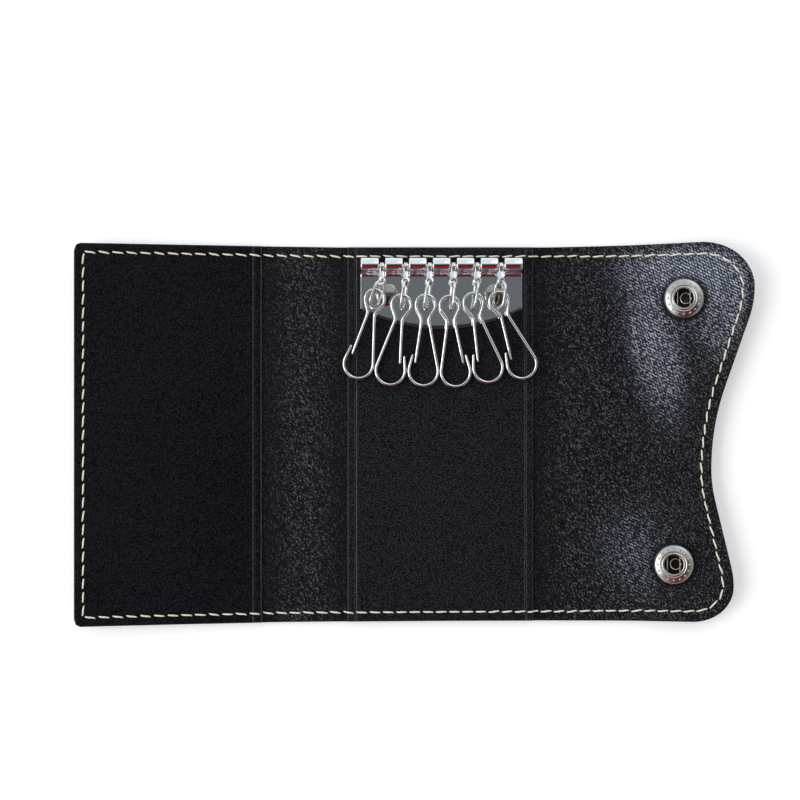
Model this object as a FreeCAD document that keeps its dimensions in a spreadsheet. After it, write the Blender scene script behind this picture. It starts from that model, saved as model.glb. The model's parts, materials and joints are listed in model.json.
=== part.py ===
import FreeCAD, Part
import math
import os

import Sketcher
from FreeCAD import Placement, Rotation, Vector

# Leather key case lying open, inside up, in millimetres.
# +X runs from the left panel to the flap, +Y to the edge with the key bar, +Z up.
# The origin is the middle of the opened case on the surface that it lies on.

doc = FreeCAD.newDocument("key_case")

# Driving sizes, one cell each
SIZES = (
    ("outer_thickness", 1.2),
    ("lining_thickness", 0.6),
    ("panel_thickness", 0.8),
    ("case_height", 107.6),
    ("end_flare_height", 1.1),
    ("left_panel_setback", 1.3),
    ("left_corner_radius", 2.0),
    ("left_spine_width", 21.8),
    ("centre_width", 56.9),
    ("flap_length", 34.9),
    ("fold_gap", 0.2),
    ("panel_margin", 1.5),
    ("flap_waist_reach", 22.6),
    ("flap_waist_drop", 9.9),
    ("flap_lower_reach", 28.9),
    ("flap_upper_corner_radius", 12.0),
    ("flap_lower_corner_radius", 9.8),
    ("socket_upper_reach", 15.1),
    ("socket_upper_edge_distance", 14.6),
    ("socket_lower_reach", 12.2),
    ("socket_lower_edge_distance", 16.2),
    ("socket_radius", 5.8),
    ("socket_height", 2.6),
    ("socket_hole_radius", 2.7),
    ("socket_wall", 0.35),
    ("socket_crown_radius", 3.9),
    ("socket_floor_radius", 4.9),
    ("spring_wire_radius", 0.2),
    ("spring_run_length", 4.6),
    ("snap_clearance", 0.1),
    ("cap_radius", 6.2),
    ("cap_rim", 0.4),
    ("cap_height", 1.6),
    ("cap_post_radius", 1.4),
    ("cap_post_bore", 0.9),
    ("cap_roll_radius", 1.75),
    ("cap_roll_height", 0.4),
    ("stud_base_radius", 4.4),
    ("stud_base_height", 0.6),
    ("stud_neck_radius", 1.5),
    ("stud_neck_length", 1.4),
    ("stud_bulb_radius", 1.9),
    ("stud_bulb_height", 0.5),
    ("post_flange_radius", 3.6),
    ("post_flange_height", 0.5),
    ("post_radius", 0.8),
    ("closing_clearance", 0.2),
    ("fit_clearance", 0.05),
    ("bar_width", 46.7),
    ("bar_sheet", 0.8),
    ("bar_offset", 0.3),
    ("bar_edge_distance", 4.9),
    ("bar_side_length", 12.6),
    ("bar_bottom_sag", 5.8),
    ("barrel_radius", 2.1),
    ("barrel_seam", 0.3),
    ("slot_width", 1.75),
    ("slot_pitch", 6.88),
    ("rod_radius", 0.75),
    ("rivet_spacing", 31.5),
    ("rivet_drop", 8.5),
    ("rivet_head_radius", 3.3),
    ("rivet_head_height", 0.8),
    ("rivet_tube_radius", 1.3),
    ("rivet_post_radius", 0.9),
    ("rivet_back_radius", 3.0),
    ("rivet_back_height", 0.45),
    ("strap_width", 1.4),
    ("strap_thickness", 0.45),
    ("strap_reach", 4.3),
    ("strap_eye_radius", 1.25),
    ("strap_eye_thickness", 0.7),
    ("ring_length", 8.7),
    ("ring_width", 5.6),
    ("ring_wire_radius", 0.4),
    ("ring_height", 3.2),
    ("ring_eye_clearance", 0.15),
    ("hook_length", 27.1),
    ("hook_wire", 0.9),
    ("hook_wire_width", 1.6),
    ("hook_eye_radius", 2.8),
    ("hook_neck_depth", 6.9),
    ("hook_neck_half_width", 0.95),
    ("hook_bend_radius", 4.2),
    ("hook_gate_length", 13.0),
    ("hook_gate_spread", 1.5),
    ("hook_return_rise", 4.85),
    ("hook_return_inset", 0.95),
    ("hook_lying_clearance", 0.25),
    ("overrun", 2.0),
)

# How each hook and its ring lie, from left to right: degrees of lean in plan, degrees that the
# ring stands away from upright, the gate's side, and where the hook sits on its ring
HOOK_LEANS = (-14.4, -9.5, -1.9, 5.4, 13.0, 20.4)
RING_LEANS = (-20.0, -8.0, -9.0, -4.0, -9.0, -8.0)
RING_TILTS = (-34.0, -12.0, -12.0, 8.0, 8.0, 35.0)
GATE_SIDES = (-1, 1, -1, 1, -1, -1)
HOOK_SLIDE_SHARES = (-0.15, -0.1, -0.16, -0.4, -0.45, -0.42)
HOOK_HANG_SHARES = (0.36, 0.52, 0.52, 0.56, 0.48, 0.44)
HOOK_COUNT = len(HOOK_LEANS)

# The wavy flap: how full its two S curves are, and the lobe's share of each curve's two radii
upper_curve_share = 0.854
upper_lobe_share = 0.2745
lower_curve_share = 0.681
lower_lobe_share = 0.385

sheet = doc.addObject("Spreadsheet::Sheet", "Sizes")
for row, (alias, number) in enumerate(SIZES, start=1):
    sheet.set(f"A{row}", alias)
    sheet.set(f"B{row}", str(number))
    sheet.setAlias(f"B{row}", alias)
doc.recompute()


class Size:
    """A length with its value and the sheet formula that gives it."""

    def __init__(self, value, formula):
        self.value = value
        self.formula = formula

    def joined(self, other, sign, value):
        text = other.formula if isinstance(other, Size) else repr(other)
        return Size(value, f"({self.formula} {sign} {text})")

    def __add__(self, other):
        return self.joined(other, "+", self.value + plain(other))

    def __sub__(self, other):
        return self.joined(other, "-", self.value - plain(other))

    def __mul__(self, other):
        return self.joined(other, "*", self.value * plain(other))

    def __truediv__(self, other):
        return self.joined(other, "/", self.value / plain(other))

    def __neg__(self):
        return Size(-self.value, f"(0 mm - {self.formula})")

    def slant(self, other):
        """The long side of a right triangle on two lengths."""
        squares = f"{self.formula} * {self.formula} + {other.formula} * {other.formula}"
        return Size(math.hypot(self.value, other.value), f"sqrt({squares})")


def plain(item):
    """The number of a Size, or the number itself."""
    return item.value if isinstance(item, Size) else float(item)


size = {}
for alias, number in SIZES:
    size[alias] = Size(float(sheet.get(alias)), f"(Sizes.{alias} * 1 mm)")
zero = Size(0.0, "0 mm")


def bind(item, **formulas):
    """Ties an object's properties to the sheet."""
    for name, formula in formulas.items():
        item.setExpression(name, formula.formula)


# Sketches and features

def new_sketch(body, label, plane, lift=None):
    """A sketch on one of its own body's planes, raised along the plane's normal."""
    sketch = body.newObject("Sketcher::SketchObject", label)
    for feature in body.Origin.OriginFeatures:
        if feature.Role == plane:
            sketch.AttachmentSupport = (feature, [""])
    sketch.MapMode = "FlatFace"
    if lift is not None:
        sketch.setExpression("AttachmentOffset.Base.z", lift.formula)
    return sketch


def arc_through(start, middle, end):
    """An arc through three points, turned to run anticlockwise as sketches keep theirs."""
    across = (middle - start).cross(end - middle).z
    return Part.Arc(start, middle, end) if across > 0 else Part.Arc(end, middle, start)


def draw(sketch, corners, arcs=None):
    """A closed outline through the corners, each tied to the sheet. An arc replaces the straight
    edge that starts at its corner: its middle point, given as numbers, and its radius, a Size."""
    arcs = arcs or {}
    count = len(corners)
    points = [Vector(x.value, y.value, 0) for x, y in corners]
    ends = []
    for i in range(count):
        start, end = points[i], points[(i + 1) % count]
        if i in arcs:
            sketch.addGeometry(arc_through(start, arcs[i][0], end), False)
            first = sketch.Geometry[i].StartPoint.distanceToPoint(start)
            last = sketch.Geometry[i].EndPoint.distanceToPoint(start)
            ends.append((1, 2) if first < last else (2, 1))
        else:
            sketch.addGeometry(Part.LineSegment(start, end), False)
            ends.append((1, 2))
    for i in range(count):
        after = (i + 1) % count
        sketch.addConstraint(Sketcher.Constraint("Coincident", i, ends[i][1], after, ends[after][0]))
    for i, (x, y) in enumerate(corners):
        for kind, length in (("DistanceX", x), ("DistanceY", y)):
            place = sketch.addConstraint(
                Sketcher.Constraint(kind, -1, 1, i, ends[i][0], length.value))
            sketch.setExpression(f"Constraints[{place}]", length.formula)
    for i, (_, radius) in arcs.items():
        place = sketch.addConstraint(Sketcher.Constraint("Radius", i, radius.value))
        sketch.setExpression(f"Constraints[{place}]", radius.formula)


def new_body(label):
    body = doc.addObject("PartDesign::Body", label)
    body.Label = label
    return body


def pad(body, sketch, length, both_ways=False):
    feature = body.newObject("PartDesign::Pad", f"{body.Name}_pad")
    feature.Profile = sketch
    feature.Midplane = both_ways
    bind(feature, Length=length)
    sketch.Visibility = False
    doc.recompute()
    return feature


def drill(body, label, places, radius, depth=None, lift=None):
    """Round holes upwards from the body's base plane, or from a raised one; right through
    unless a depth is given."""
    before = body.Shape.Volume
    sketch = new_sketch(body, f"{body.Name}_{label}", "XY_Plane", lift)
    for i, (x, y) in enumerate(places):
        sketch.addGeometry(Part.Circle(Vector(x.value, y.value, 0), Vector(0, 0, 1), radius.value), False)
        for kind, length in (("DistanceX", x), ("DistanceY", y)):
            place = sketch.addConstraint(Sketcher.Constraint(kind, -1, 1, i, 3, length.value))
            sketch.setExpression(f"Constraints[{place}]", length.formula)
        place = sketch.addConstraint(Sketcher.Constraint("Radius", i, radius.value))
        sketch.setExpression(f"Constraints[{place}]", radius.formula)
    pocket = body.newObject("PartDesign::Pocket", f"{body.Name}_{label}_pocket")
    pocket.Profile = sketch
    pocket.Reversed = True
    if depth is None:
        pocket.Type = "ThroughAll"
    else:
        bind(pocket, Length=depth)
    body.Tip = pocket
    doc.recompute()
    assert body.Shape.Volume < before, f"{label} cuts nothing from {body.Label}"


def turned(label, profile, place, arcs=None):
    """A piece turned about its local Z axis from a closed profile of radius and height."""
    body = new_body(label)
    sketch = new_sketch(body, f"{label}_profile", "XZ_Plane")
    draw(sketch, profile, arcs)
    feature = body.newObject("PartDesign::Revolution", f"{label}_turn")
    feature.Profile = sketch
    feature.ReferenceAxis = (sketch, ["V_Axis"])
    body.Placement = place
    doc.recompute()
    return body


# How the case lies: fold lines, and the tilt of the two end panels on their snap parts

leather = size["outer_thickness"] + size["lining_thickness"]
stud_height = size["stud_base_height"] + size["stud_neck_length"] + size["stud_bulb_height"]
right_spine_width = (size["left_spine_width"] + leather + size["socket_height"]
                     + size["stud_base_height"] + size["closing_clearance"])
left_panel_length = size["centre_width"] - size["left_panel_setback"]
half_height = size["case_height"] / 2
socket_places = {
    "upper": (size["socket_upper_reach"], half_height - size["socket_upper_edge_distance"]),
    "lower": (size["socket_lower_reach"], -(half_height - size["socket_lower_edge_distance"])),
}
stud_places = {}
for name, (reach, rise) in socket_places.items():
    stud_places[name] = (-(size["centre_width"] - reach), rise)

nearest_stud = min(-x.value for x, _ in stud_places.values()) - size["stud_bulb_radius"].value
stud_depth = (leather + stud_height).value
left_tilt = (math.atan2(stud_depth, nearest_stud)
             - math.asin(leather.value / math.hypot(stud_depth, nearest_stud)))

cap_rise = size["cap_height"].value - size["cap_rim"].value
cap_sphere_radius = (size["cap_radius"].value ** 2 + cap_rise ** 2) / (2 * cap_rise)
nearest_cap = min(x.value for x, _ in socket_places.values())
cap_centre_height = cap_sphere_radius - size["cap_height"].value - leather.value
right_tilt = (math.asin((cap_sphere_radius - leather.value) / math.hypot(nearest_cap, cap_centre_height))
              - math.atan2(cap_centre_height, nearest_cap))

left_reach = left_panel_length.value * math.cos(left_tilt) + leather.value * math.sin(left_tilt)
right_reach = size["flap_length"].value * math.cos(right_tilt) + leather.value * math.sin(right_tilt)
centre_x = (size["left_spine_width"].value + left_reach - right_spine_width.value - right_reach) / 2
fold_level = leather.value
left_fold_x = centre_x - size["centre_width"].value / 2
left_panel_fold_x = left_fold_x - size["left_spine_width"].value
right_fold_x = centre_x + size["centre_width"].value / 2
flap_fold_x = right_fold_x + right_spine_width.value

# Each leather part hangs on a frame at its fold line, level with the lining's inner face
frames = {
    "left_panel": Placement(Vector(left_panel_fold_x, 0, fold_level),
                            Rotation(Vector(0, 1, 0), math.degrees(left_tilt))),
    "left_spine": Placement(Vector(left_fold_x, 0, fold_level), Rotation()),
    "centre": Placement(Vector(centre_x, 0, fold_level), Rotation()),
    "right_spine": Placement(Vector(right_fold_x, 0, fold_level), Rotation()),
    "flap": Placement(Vector(flap_fold_x, 0, fold_level),
                      Rotation(Vector(0, 1, 0), -math.degrees(right_tilt))),
}


def raised(part, height):
    """A place in a leather part's frame, that far above the lining's inner face."""
    return frames[part].multiply(Placement(Vector(0, 0, height.value), Rotation()))


def at(part, x, y, height):
    """A place on a leather part, for pieces that are fixed through it."""
    return frames[part].multiply(Placement(Vector(x.value, y.value, height.value), Rotation()))


# Leather: outer hide, lining and the two smooth panels

half_gap = size["fold_gap"] / 2
flared = half_height + size["end_flare_height"]


def rectangle(left, right, low, high):
    return [(left, low), (right, low), (right, high), (left, high)]


def inner_tangent(centre_a, radius_a, centre_b, radius_b):
    """Where the straight stretch of an S curve touches its two arcs, the first curving to the
    left of the way from a to b and the second to the right."""
    line = centre_b - centre_a
    turn = math.atan2(line.y, line.x) - math.acos((radius_a + radius_b) / line.Length)
    normal = Vector(math.cos(turn), math.sin(turn), 0)
    return centre_a + normal * radius_a, centre_b - normal * radius_b


def curve_radii(drop, step, curve_share, lobe_share):
    """The lobe's and the waist's radius of an S curve that goes that far down and in. At a share
    of 1 the two arcs would meet with no straight stretch between them."""
    both = (drop ** 2 + step ** 2) / (2 * step) * curve_share
    return both * lobe_share, both * (1 - lobe_share)


def flap_outline():
    """The wavy flap: a large upper lobe, a waist and a smaller lower lobe, as tangent arcs."""
    top = flared.value
    bottom = -half_height.value
    upper_x = size["flap_length"].value
    lower_x = size["flap_lower_reach"].value
    waist = Vector(size["flap_waist_reach"].value, -size["flap_waist_drop"].value, 0)
    r_up = size["flap_upper_corner_radius"].value
    r_low = size["flap_lower_corner_radius"].value
    upper_tip = Vector(upper_x, top - r_up, 0)
    lower_tip = Vector(lower_x, bottom + r_low, 0)
    upper_lobe, upper_waist = curve_radii(upper_tip.y - waist.y, upper_tip.x - waist.x,
                                          upper_curve_share, upper_lobe_share)
    lower_lobe, lower_waist = curve_radii(waist.y - lower_tip.y, lower_tip.x - waist.x,
                                          lower_curve_share, lower_lobe_share)
    upper_centre = upper_tip - Vector(upper_lobe, 0, 0)
    lower_centre = lower_tip - Vector(lower_lobe, 0, 0)
    low_waist_centre = waist + Vector(lower_waist, 0, 0)
    high_waist_centre = waist + Vector(upper_waist, 0, 0)
    low_a, low_b = inner_tangent(lower_centre, lower_lobe, low_waist_centre, lower_waist)
    mirror = Vector(1, -1, 1)
    high_a, high_b = inner_tangent(flip(upper_centre, mirror), upper_lobe,
                                   flip(high_waist_centre, mirror), upper_waist)
    high_a, high_b = flip(high_a, mirror), flip(high_b, mirror)
    low_start = Vector(lower_x - r_low, bottom, 0)
    high_end = Vector(upper_x - r_up, top, 0)
    fold = half_gap.value
    return [
        Part.LineSegment(Vector(fold, bottom, 0), low_start),
        arc_about(lower_tip - Vector(r_low, 0, 0), low_start, lower_tip),
        arc_about(lower_centre, lower_tip, low_a),
        Part.LineSegment(low_a, low_b),
        arc_about(low_waist_centre, low_b, waist),
        arc_about(high_waist_centre, waist, high_b),
        Part.LineSegment(high_b, high_a),
        arc_about(upper_centre, high_a, upper_tip),
        arc_about(upper_tip - Vector(r_up, 0, 0), upper_tip, high_end),
        Part.LineSegment(high_end, Vector(fold, half_height.value, 0)),
        Part.LineSegment(Vector(fold, half_height.value, 0), Vector(fold, bottom, 0)),
    ]


def flip(point, signs):
    return Vector(point.x * signs.x, point.y * signs.y, point.z * signs.z)


def arc_about(centre, start, end):
    """The short arc about a centre from one point to another."""
    middle = (start - centre) + (end - centre)
    middle.normalize()
    return arc_through(start, centre + middle * (start - centre).Length, end)


def leather_layer(label, part, base, thickness, corners=None, round_left=False):
    """One layer of one leather part, its base that far from the lining's inner face. Without
    corners it has the flap's outline."""
    body = new_body(label)
    sketch = new_sketch(body, f"{label}_outline", "XY_Plane")
    if corners is None:
        for edge in flap_outline():
            sketch.addGeometry(edge, False)
    else:
        draw(sketch, corners)
    last = pad(body, sketch, thickness)
    if round_left:
        edges = []
        for i, edge in enumerate(last.Shape.Edges, start=1):
            upright = edge.Vertexes[0].Z != edge.Vertexes[-1].Z
            if upright and edge.CenterOfMass.x < -size["panel_margin"].value:
                edges.append(f"Edge{i}")
        rounding = body.newObject("PartDesign::Fillet", f"{label}_corners")
        rounding.Base = (last, edges)
        bind(rounding, Radius=size["left_corner_radius"])
        doc.recompute()
    body.Placement = raised(part, base)
    return body


left_corners = [(-left_panel_length, -flared), (-half_gap, -half_height),
                (-half_gap, half_height), (-left_panel_length, flared)]
left_spine_corners = rectangle(-(size["left_spine_width"] - half_gap), -half_gap, -half_height, half_height)
half_centre = size["centre_width"] / 2
centre_corners = rectangle(-(half_centre - half_gap), half_centre - half_gap, -half_height, half_height)
right_spine_corners = rectangle(half_gap, right_spine_width - half_gap, -half_height, half_height)
outlines = {
    "left_panel": left_corners,
    "left_spine": left_spine_corners,
    "centre": centre_corners,
    "right_spine": right_spine_corners,
    "flap": None,
}
outer = {}
lining = {}
for part, corners in outlines.items():
    rounded = part == "left_panel"
    outer[part] = leather_layer(f"outer_leather_{part}", part, -leather,
                                size["outer_thickness"], corners, rounded)
    lining[part] = leather_layer(f"lining_{part}", part, -size["lining_thickness"],
                                 size["lining_thickness"], corners, rounded)

margin = size["panel_margin"]
margin_height = half_height + size["end_flare_height"] * (margin / left_panel_length)
pocket_corners = [(-left_panel_length, -flared), (-margin, -margin_height),
                  (-margin, margin_height), (-left_panel_length, flared)]
left_pocket_panel = leather_layer("left_pocket_panel", "left_panel", zero, size["panel_thickness"],
                                  pocket_corners, True)
centre_panel_corners = rectangle(-(half_centre - margin), half_centre - margin, -half_height, half_height)
centre_panel = leather_layer("centre_panel", "centre", zero, size["panel_thickness"], centre_panel_corners)

# Snap fasteners: caps and sockets on the flap, studs on the left panel

clearance = size["fit_clearance"]
cap_hole = size["cap_post_radius"] + clearance
post_hole = size["post_radius"] + clearance
drill(outer["flap"], "cap_holes", socket_places.values(), cap_hole)
drill(lining["flap"], "cap_holes", socket_places.values(), cap_hole)
drill(outer["left_panel"], "post_holes", stud_places.values(), post_hole)
drill(lining["left_panel"], "flange_holes", stud_places.values(), size["post_flange_radius"] + clearance)


def snap_cap(name):
    """A domed cap under the flap. Its tubular post comes up through the leather and is rolled
    over inside the socket."""
    place = at("flap", *socket_places[name], -leather)
    post, bore = size["cap_post_radius"], size["cap_post_bore"]
    top = leather + size["socket_wall"] + size["cap_roll_height"]
    seat = leather + size["socket_wall"] + clearance
    profile = [
        (zero, -size["cap_height"]),
        (size["cap_radius"], -size["cap_rim"]),
        (size["cap_radius"], zero),
        (post, zero),
        (post, seat),
        (size["cap_roll_radius"], seat),
        (size["cap_roll_radius"], top),
        (bore, top),
        (bore, -size["cap_rim"]),
        (zero, -size["cap_rim"]),
    ]
    swing = math.asin(size["cap_radius"].value / cap_sphere_radius) / 2
    middle = Vector(cap_sphere_radius * math.sin(swing),
                    cap_sphere_radius * (1 - math.cos(swing)) - size["cap_height"].value, 0)
    dome = size["cap_height"] - size["cap_rim"]
    dome_radius = (size["cap_radius"] * size["cap_radius"] / dome + dome) / 2
    turned(f"snap_cap_{name}", profile, place, {0: (middle, dome_radius)})


def snap_socket(name):
    """A pressed sheet ring: a flat floor on the lining, and a crown that rises and turns in to
    the hole, hollow for the spring wire."""
    wall = size["socket_wall"]
    height = size["socket_height"]
    shoulder = height - wall * 2
    profile = [
        (size["cap_post_radius"] + clearance, zero),
        (size["socket_radius"], zero),
        (size["socket_radius"], shoulder),
        (size["socket_crown_radius"], height),
        (size["socket_hole_radius"], height - wall),
        (size["socket_hole_radius"], height - wall * 2),
        (size["socket_crown_radius"], height - wall),
        (size["socket_floor_radius"], shoulder - wall),
        (size["socket_floor_radius"], wall),
        (size["cap_post_radius"] + clearance, wall),
    ]
    turned(f"snap_socket_{name}", profile, at("flap", *socket_places[name], zero))


def snap_spring(name):
    """A hairpin of spring wire that lies in the socket's crown, a straight run on each side of
    the stud's neck."""
    offset = size["stud_neck_radius"] + size["snap_clearance"] + size["spring_wire_radius"]
    level = size["socket_height"] - size["socket_wall"] * 2 - size["spring_wire_radius"] - clearance
    label = f"snap_spring_{name}"
    body = new_body(label)
    path = new_sketch(body, f"{label}_path", "XY_Plane", level)
    half_run = size["spring_run_length"].value / 2
    side = offset.value
    path.addGeometry(Part.LineSegment(Vector(side, -half_run, 0), Vector(side, half_run, 0)), False)
    path.addGeometry(arc_through(Vector(side, half_run, 0), Vector(0, half_run + side, 0),
                                 Vector(-side, half_run, 0)), False)
    path.addGeometry(Part.LineSegment(Vector(-side, half_run, 0), Vector(-side, -half_run, 0)), False)
    section = new_sketch(body, f"{label}_section", "XZ_Plane", size["spring_run_length"] / 2)
    section.addGeometry(Part.Circle(Vector(side, level.value, 0), Vector(0, 0, 1),
                                    size["spring_wire_radius"].value), False)
    pipe = body.newObject("PartDesign::AdditivePipe", f"{label}_pipe")
    pipe.Profile = section
    pipe.Spine = path
    body.Placement = at("flap", *socket_places[name], zero)
    doc.recompute()


def snap_stud(name):
    """A turned stud under the left panel: base, neck and bulb, with a bore for its post."""
    base = size["stud_base_height"]
    neck = base + size["stud_neck_length"]
    bore = size["post_radius"] + clearance
    edge_share = 0.3
    profile = [
        (bore, zero),
        (size["stud_base_radius"], zero),
        (size["stud_base_radius"], -(base * (1 - edge_share))),
        (size["stud_base_radius"] - base * edge_share, -base),
        (size["stud_neck_radius"], -base),
        (size["stud_neck_radius"], -neck),
        (size["stud_bulb_radius"], -(neck + size["stud_bulb_height"] * edge_share)),
        (size["stud_bulb_radius"], -(stud_height - size["stud_bulb_height"] * edge_share)),
        (size["stud_neck_radius"], -stud_height),
        (bore, -stud_height),
    ]
    turned(f"snap_stud_{name}", profile, at("left_panel", *stud_places[name], -leather))


def stud_post(name):
    """A flanged rivet that comes down through the hide and holds the stud."""
    flange = size["post_flange_height"]
    reach = size["outer_thickness"] + stud_height
    profile = [
        (zero, flange),
        (zero, -reach),
        (size["post_radius"], -reach),
        (size["post_radius"], zero),
        (size["post_flange_radius"], zero),
        (size["post_flange_radius"], flange),
    ]
    turned(f"stud_post_{name}", profile, at("left_panel", *stud_places[name], -size["lining_thickness"]))


for name in socket_places:
    snap_cap(name)
    snap_socket(name)
    snap_spring(name)
    snap_stud(name)
    stud_post(name)

# Key bar: one sheet with its upper edge rolled into a slotted barrel, riveted to the centre panel

bar_y = half_height - size["bar_edge_distance"]
bar_level = size["panel_thickness"]
rod_shift = size["barrel_radius"] - size["bar_sheet"] - clearance - size["rod_radius"]
rivet_places = [(size["bar_offset"] - size["rivet_spacing"] / 2, bar_y - size["rivet_drop"]),
                (size["bar_offset"] + size["rivet_spacing"] / 2, bar_y - size["rivet_drop"])]


def key_bar():
    """The sheet's side profile is carried across the bar, then the slots, the curved lower edge
    and the rivet holes are cut."""
    body = new_body("key_bar_plate")
    outside, sheet_metal = size["barrel_radius"], size["bar_sheet"]
    inside = outside - sheet_metal
    seam = sheet_metal + size["barrel_seam"]
    depth = size["bar_side_length"] + size["bar_bottom_sag"]
    profile = new_sketch(body, "bar_profile", "YZ_Plane")
    centre = Vector(0, outside.value, 0)
    lift_out = outside.value - seam.value
    outer_end = Vector(-math.sqrt(outside.value ** 2 - lift_out ** 2), seam.value, 0)
    inner_end = Vector(-math.sqrt(inside.value ** 2 - lift_out ** 2), seam.value, 0)
    foot = Vector(0, 0, 0)
    inner_foot = Vector(0, sheet_metal.value, 0)
    edge = Vector(-depth.value, 0, 0)
    upper_edge = Vector(-depth.value, sheet_metal.value, 0)
    far = Vector(outside.value, outside.value, 0)
    inner_far = Vector(inside.value, outside.value, 0)
    top = centre + Vector(0, outside.value, 0)
    inner_top = centre + Vector(0, inside.value, 0)
    for curve in (
        Part.LineSegment(edge, foot),
        arc_about(centre, foot, far),
        arc_about(centre, far, top),
        arc_about(centre, top, outer_end),
        Part.LineSegment(outer_end, inner_end),
        arc_about(centre, inner_end, inner_top),
        arc_about(centre, inner_top, inner_far),
        arc_about(centre, inner_far, inner_foot),
        Part.LineSegment(inner_foot, upper_edge),
        Part.LineSegment(upper_edge, edge),
    ):
        profile.addGeometry(curve, False)
    pad(body, profile, size["bar_width"], both_ways=True)

    slot = new_sketch(body, "bar_slot", "XY_Plane")
    first = -(size["slot_pitch"] * ((HOOK_COUNT - 1) / 2))
    front = outside + size["strap_thickness"]
    draw(slot, rectangle(first - size["slot_width"] / 2, first + size["slot_width"] / 2,
                         -front, outside + size["overrun"]))
    cut = body.newObject("PartDesign::Pocket", "bar_slot_pocket")
    cut.Profile = slot
    cut.Reversed = True
    cut.Type = "ThroughAll"
    doc.recompute()
    row = body.newObject("PartDesign::LinearPattern", "bar_slots")
    row.Originals = [cut]
    row.Direction = (slot, ["H_Axis"])
    row.Occurrences = HOOK_COUNT
    bind(row, Length=size["slot_pitch"] * (HOOK_COUNT - 1))
    body.Tip = row
    doc.recompute()

    before = body.Shape.Volume
    trim = new_sketch(body, "bar_lower_edge", "XY_Plane")
    half = size["bar_width"] / 2
    side = -size["bar_side_length"]
    below = -(depth + size["overrun"])
    sag = size["bar_bottom_sag"]
    edge_radius = (half * half / sag + sag) / 2
    wide = half + size["overrun"]
    corners = [(-half, side), (half, side), (wide, side), (wide, below), (-wide, below), (-wide, side)]
    draw(trim, corners, {0: (Vector(0, -depth.value, 0), edge_radius)})
    shave = body.newObject("PartDesign::Pocket", "bar_lower_edge_pocket")
    shave.Profile = trim
    shave.Reversed = True
    shave.Type = "ThroughAll"
    body.Tip = shave
    doc.recompute()
    assert body.Shape.Volume < before, "the lower edge cuts nothing"
    holes = [(x - size["bar_offset"], -size["rivet_drop"]) for x, _ in rivet_places]
    drill(body, "rivet_holes", holes, size["rivet_tube_radius"] + clearance)
    body.Placement = at("centre", size["bar_offset"], bar_y, bar_level)


key_bar()
tube_hole = size["rivet_tube_radius"] + clearance
drill(centre_panel, "rivet_holes", rivet_places, tube_hole)
drill(lining["centre"], "rivet_holes", rivet_places, tube_hole)
drill(outer["centre"], "rivet_recess", rivet_places, size["rivet_back_radius"] + clearance,
      size["rivet_back_height"] + clearance,
      size["outer_thickness"] - size["rivet_back_height"] - clearance)

# Hinge rod: lies in the barrel and carries the straps in its slots

rod = doc.addObject("Part::Cylinder", "hinge_rod")
rod.Label = "hinge_rod"
bind(rod, Radius=size["rod_radius"], Height=size["bar_width"])
rod_y = bar_y - rod_shift
rod_level = bar_level + size["barrel_radius"]
rod_start = size["bar_offset"] - size["bar_width"] / 2
rod.Placement = at("centre", rod_start, rod_y, rod_level).multiply(
    Placement(Vector(0, 0, 0), Rotation(Vector(0, 1, 0), 90)))

# Bar rivets: a domed head with a tube through the layers, and a flat back whose post fills the tube

stack = bar_level + size["bar_sheet"]
hidden = stack + size["lining_thickness"]


def rivet_head(label, x, y):
    """A domed head on the bar, its tube open below for the back's post."""
    head, height = size["rivet_head_radius"], size["rivet_head_height"]
    bore = size["rivet_post_radius"] + clearance
    profile = [(zero, height), (head, zero), (size["rivet_tube_radius"], zero),
               (size["rivet_tube_radius"], -hidden), (bore, -hidden), (bore, zero), (zero, zero)]
    dome_radius = (head * head / height + height) / 2
    swing = math.asin(head.value / dome_radius.value) / 2
    middle = Vector(dome_radius.value * math.sin(swing),
                    height.value - dome_radius.value * (1 - math.cos(swing)), 0)
    turned(label, profile, at("centre", x, y, stack), {0: (middle, dome_radius)})


def rivet_back(label, x, y):
    """A flat disc let into the hide's lining side, with the post that fills the head's tube."""
    back, thick = size["rivet_back_radius"], size["rivet_back_height"]
    post = size["rivet_post_radius"]
    profile = [(zero, hidden - clearance), (zero, -thick), (back, -thick), (back, zero), (post, zero),
               (post, hidden - clearance)]
    turned(label, profile, at("centre", x, y, -size["lining_thickness"]))


for side, (x, y) in zip(("left", "right"), rivet_places):
    rivet_head(f"bar_rivet_{side}", x, y)
    rivet_back(f"rivet_back_{side}", x, y)

# Chains: strap, ring and hook in each slot

wire = size["ring_wire_radius"]
ring_half = size["ring_width"] / 2 - wire
ring_straight = size["ring_length"] - size["ring_width"]
ring_rise = stack + size["ring_height"]
ring_level = frames["centre"].Base.z + ring_rise.value
rod_centre = at("centre", size["bar_offset"], rod_y, rod_level).Base
eye_hole = wire + size["ring_eye_clearance"]
chains = []
for i in range(HOOK_COUNT):
    slot_x = rod_centre.x + size["slot_pitch"].value * (i - (HOOK_COUNT - 1) / 2)
    lean = math.radians(RING_LEANS[i])
    tilt = math.radians(RING_TILTS[i])
    along = Vector(math.sin(lean), -math.cos(lean), 0)
    side = Vector(math.cos(lean), math.sin(lean), 0)
    upright = side * math.sin(tilt) + Vector(0, 0, 1) * math.cos(tilt)
    chains.append({
        "rod": Vector(slot_x, rod_centre.y, rod_centre.z),
        "eye": Vector(slot_x, rod_centre.y - size["strap_reach"].value, ring_level),
        "along": along,
        "side": side,
        "upright": upright,
        "normal": upright.cross(along * -1),
    })


def cylinder(label, radius, height, place):
    item = doc.addObject("Part::Cylinder", label)
    bind(item, Radius=radius, Height=height)
    item.Placement = place
    return item


def fused(label, items):
    item = doc.addObject("Part::MultiFuse", label)
    item.Shapes = items
    return item


def cut(label, base, tool):
    item = doc.addObject("Part::Cut", label)
    item.Base = base
    item.Tool = tool
    return item


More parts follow.
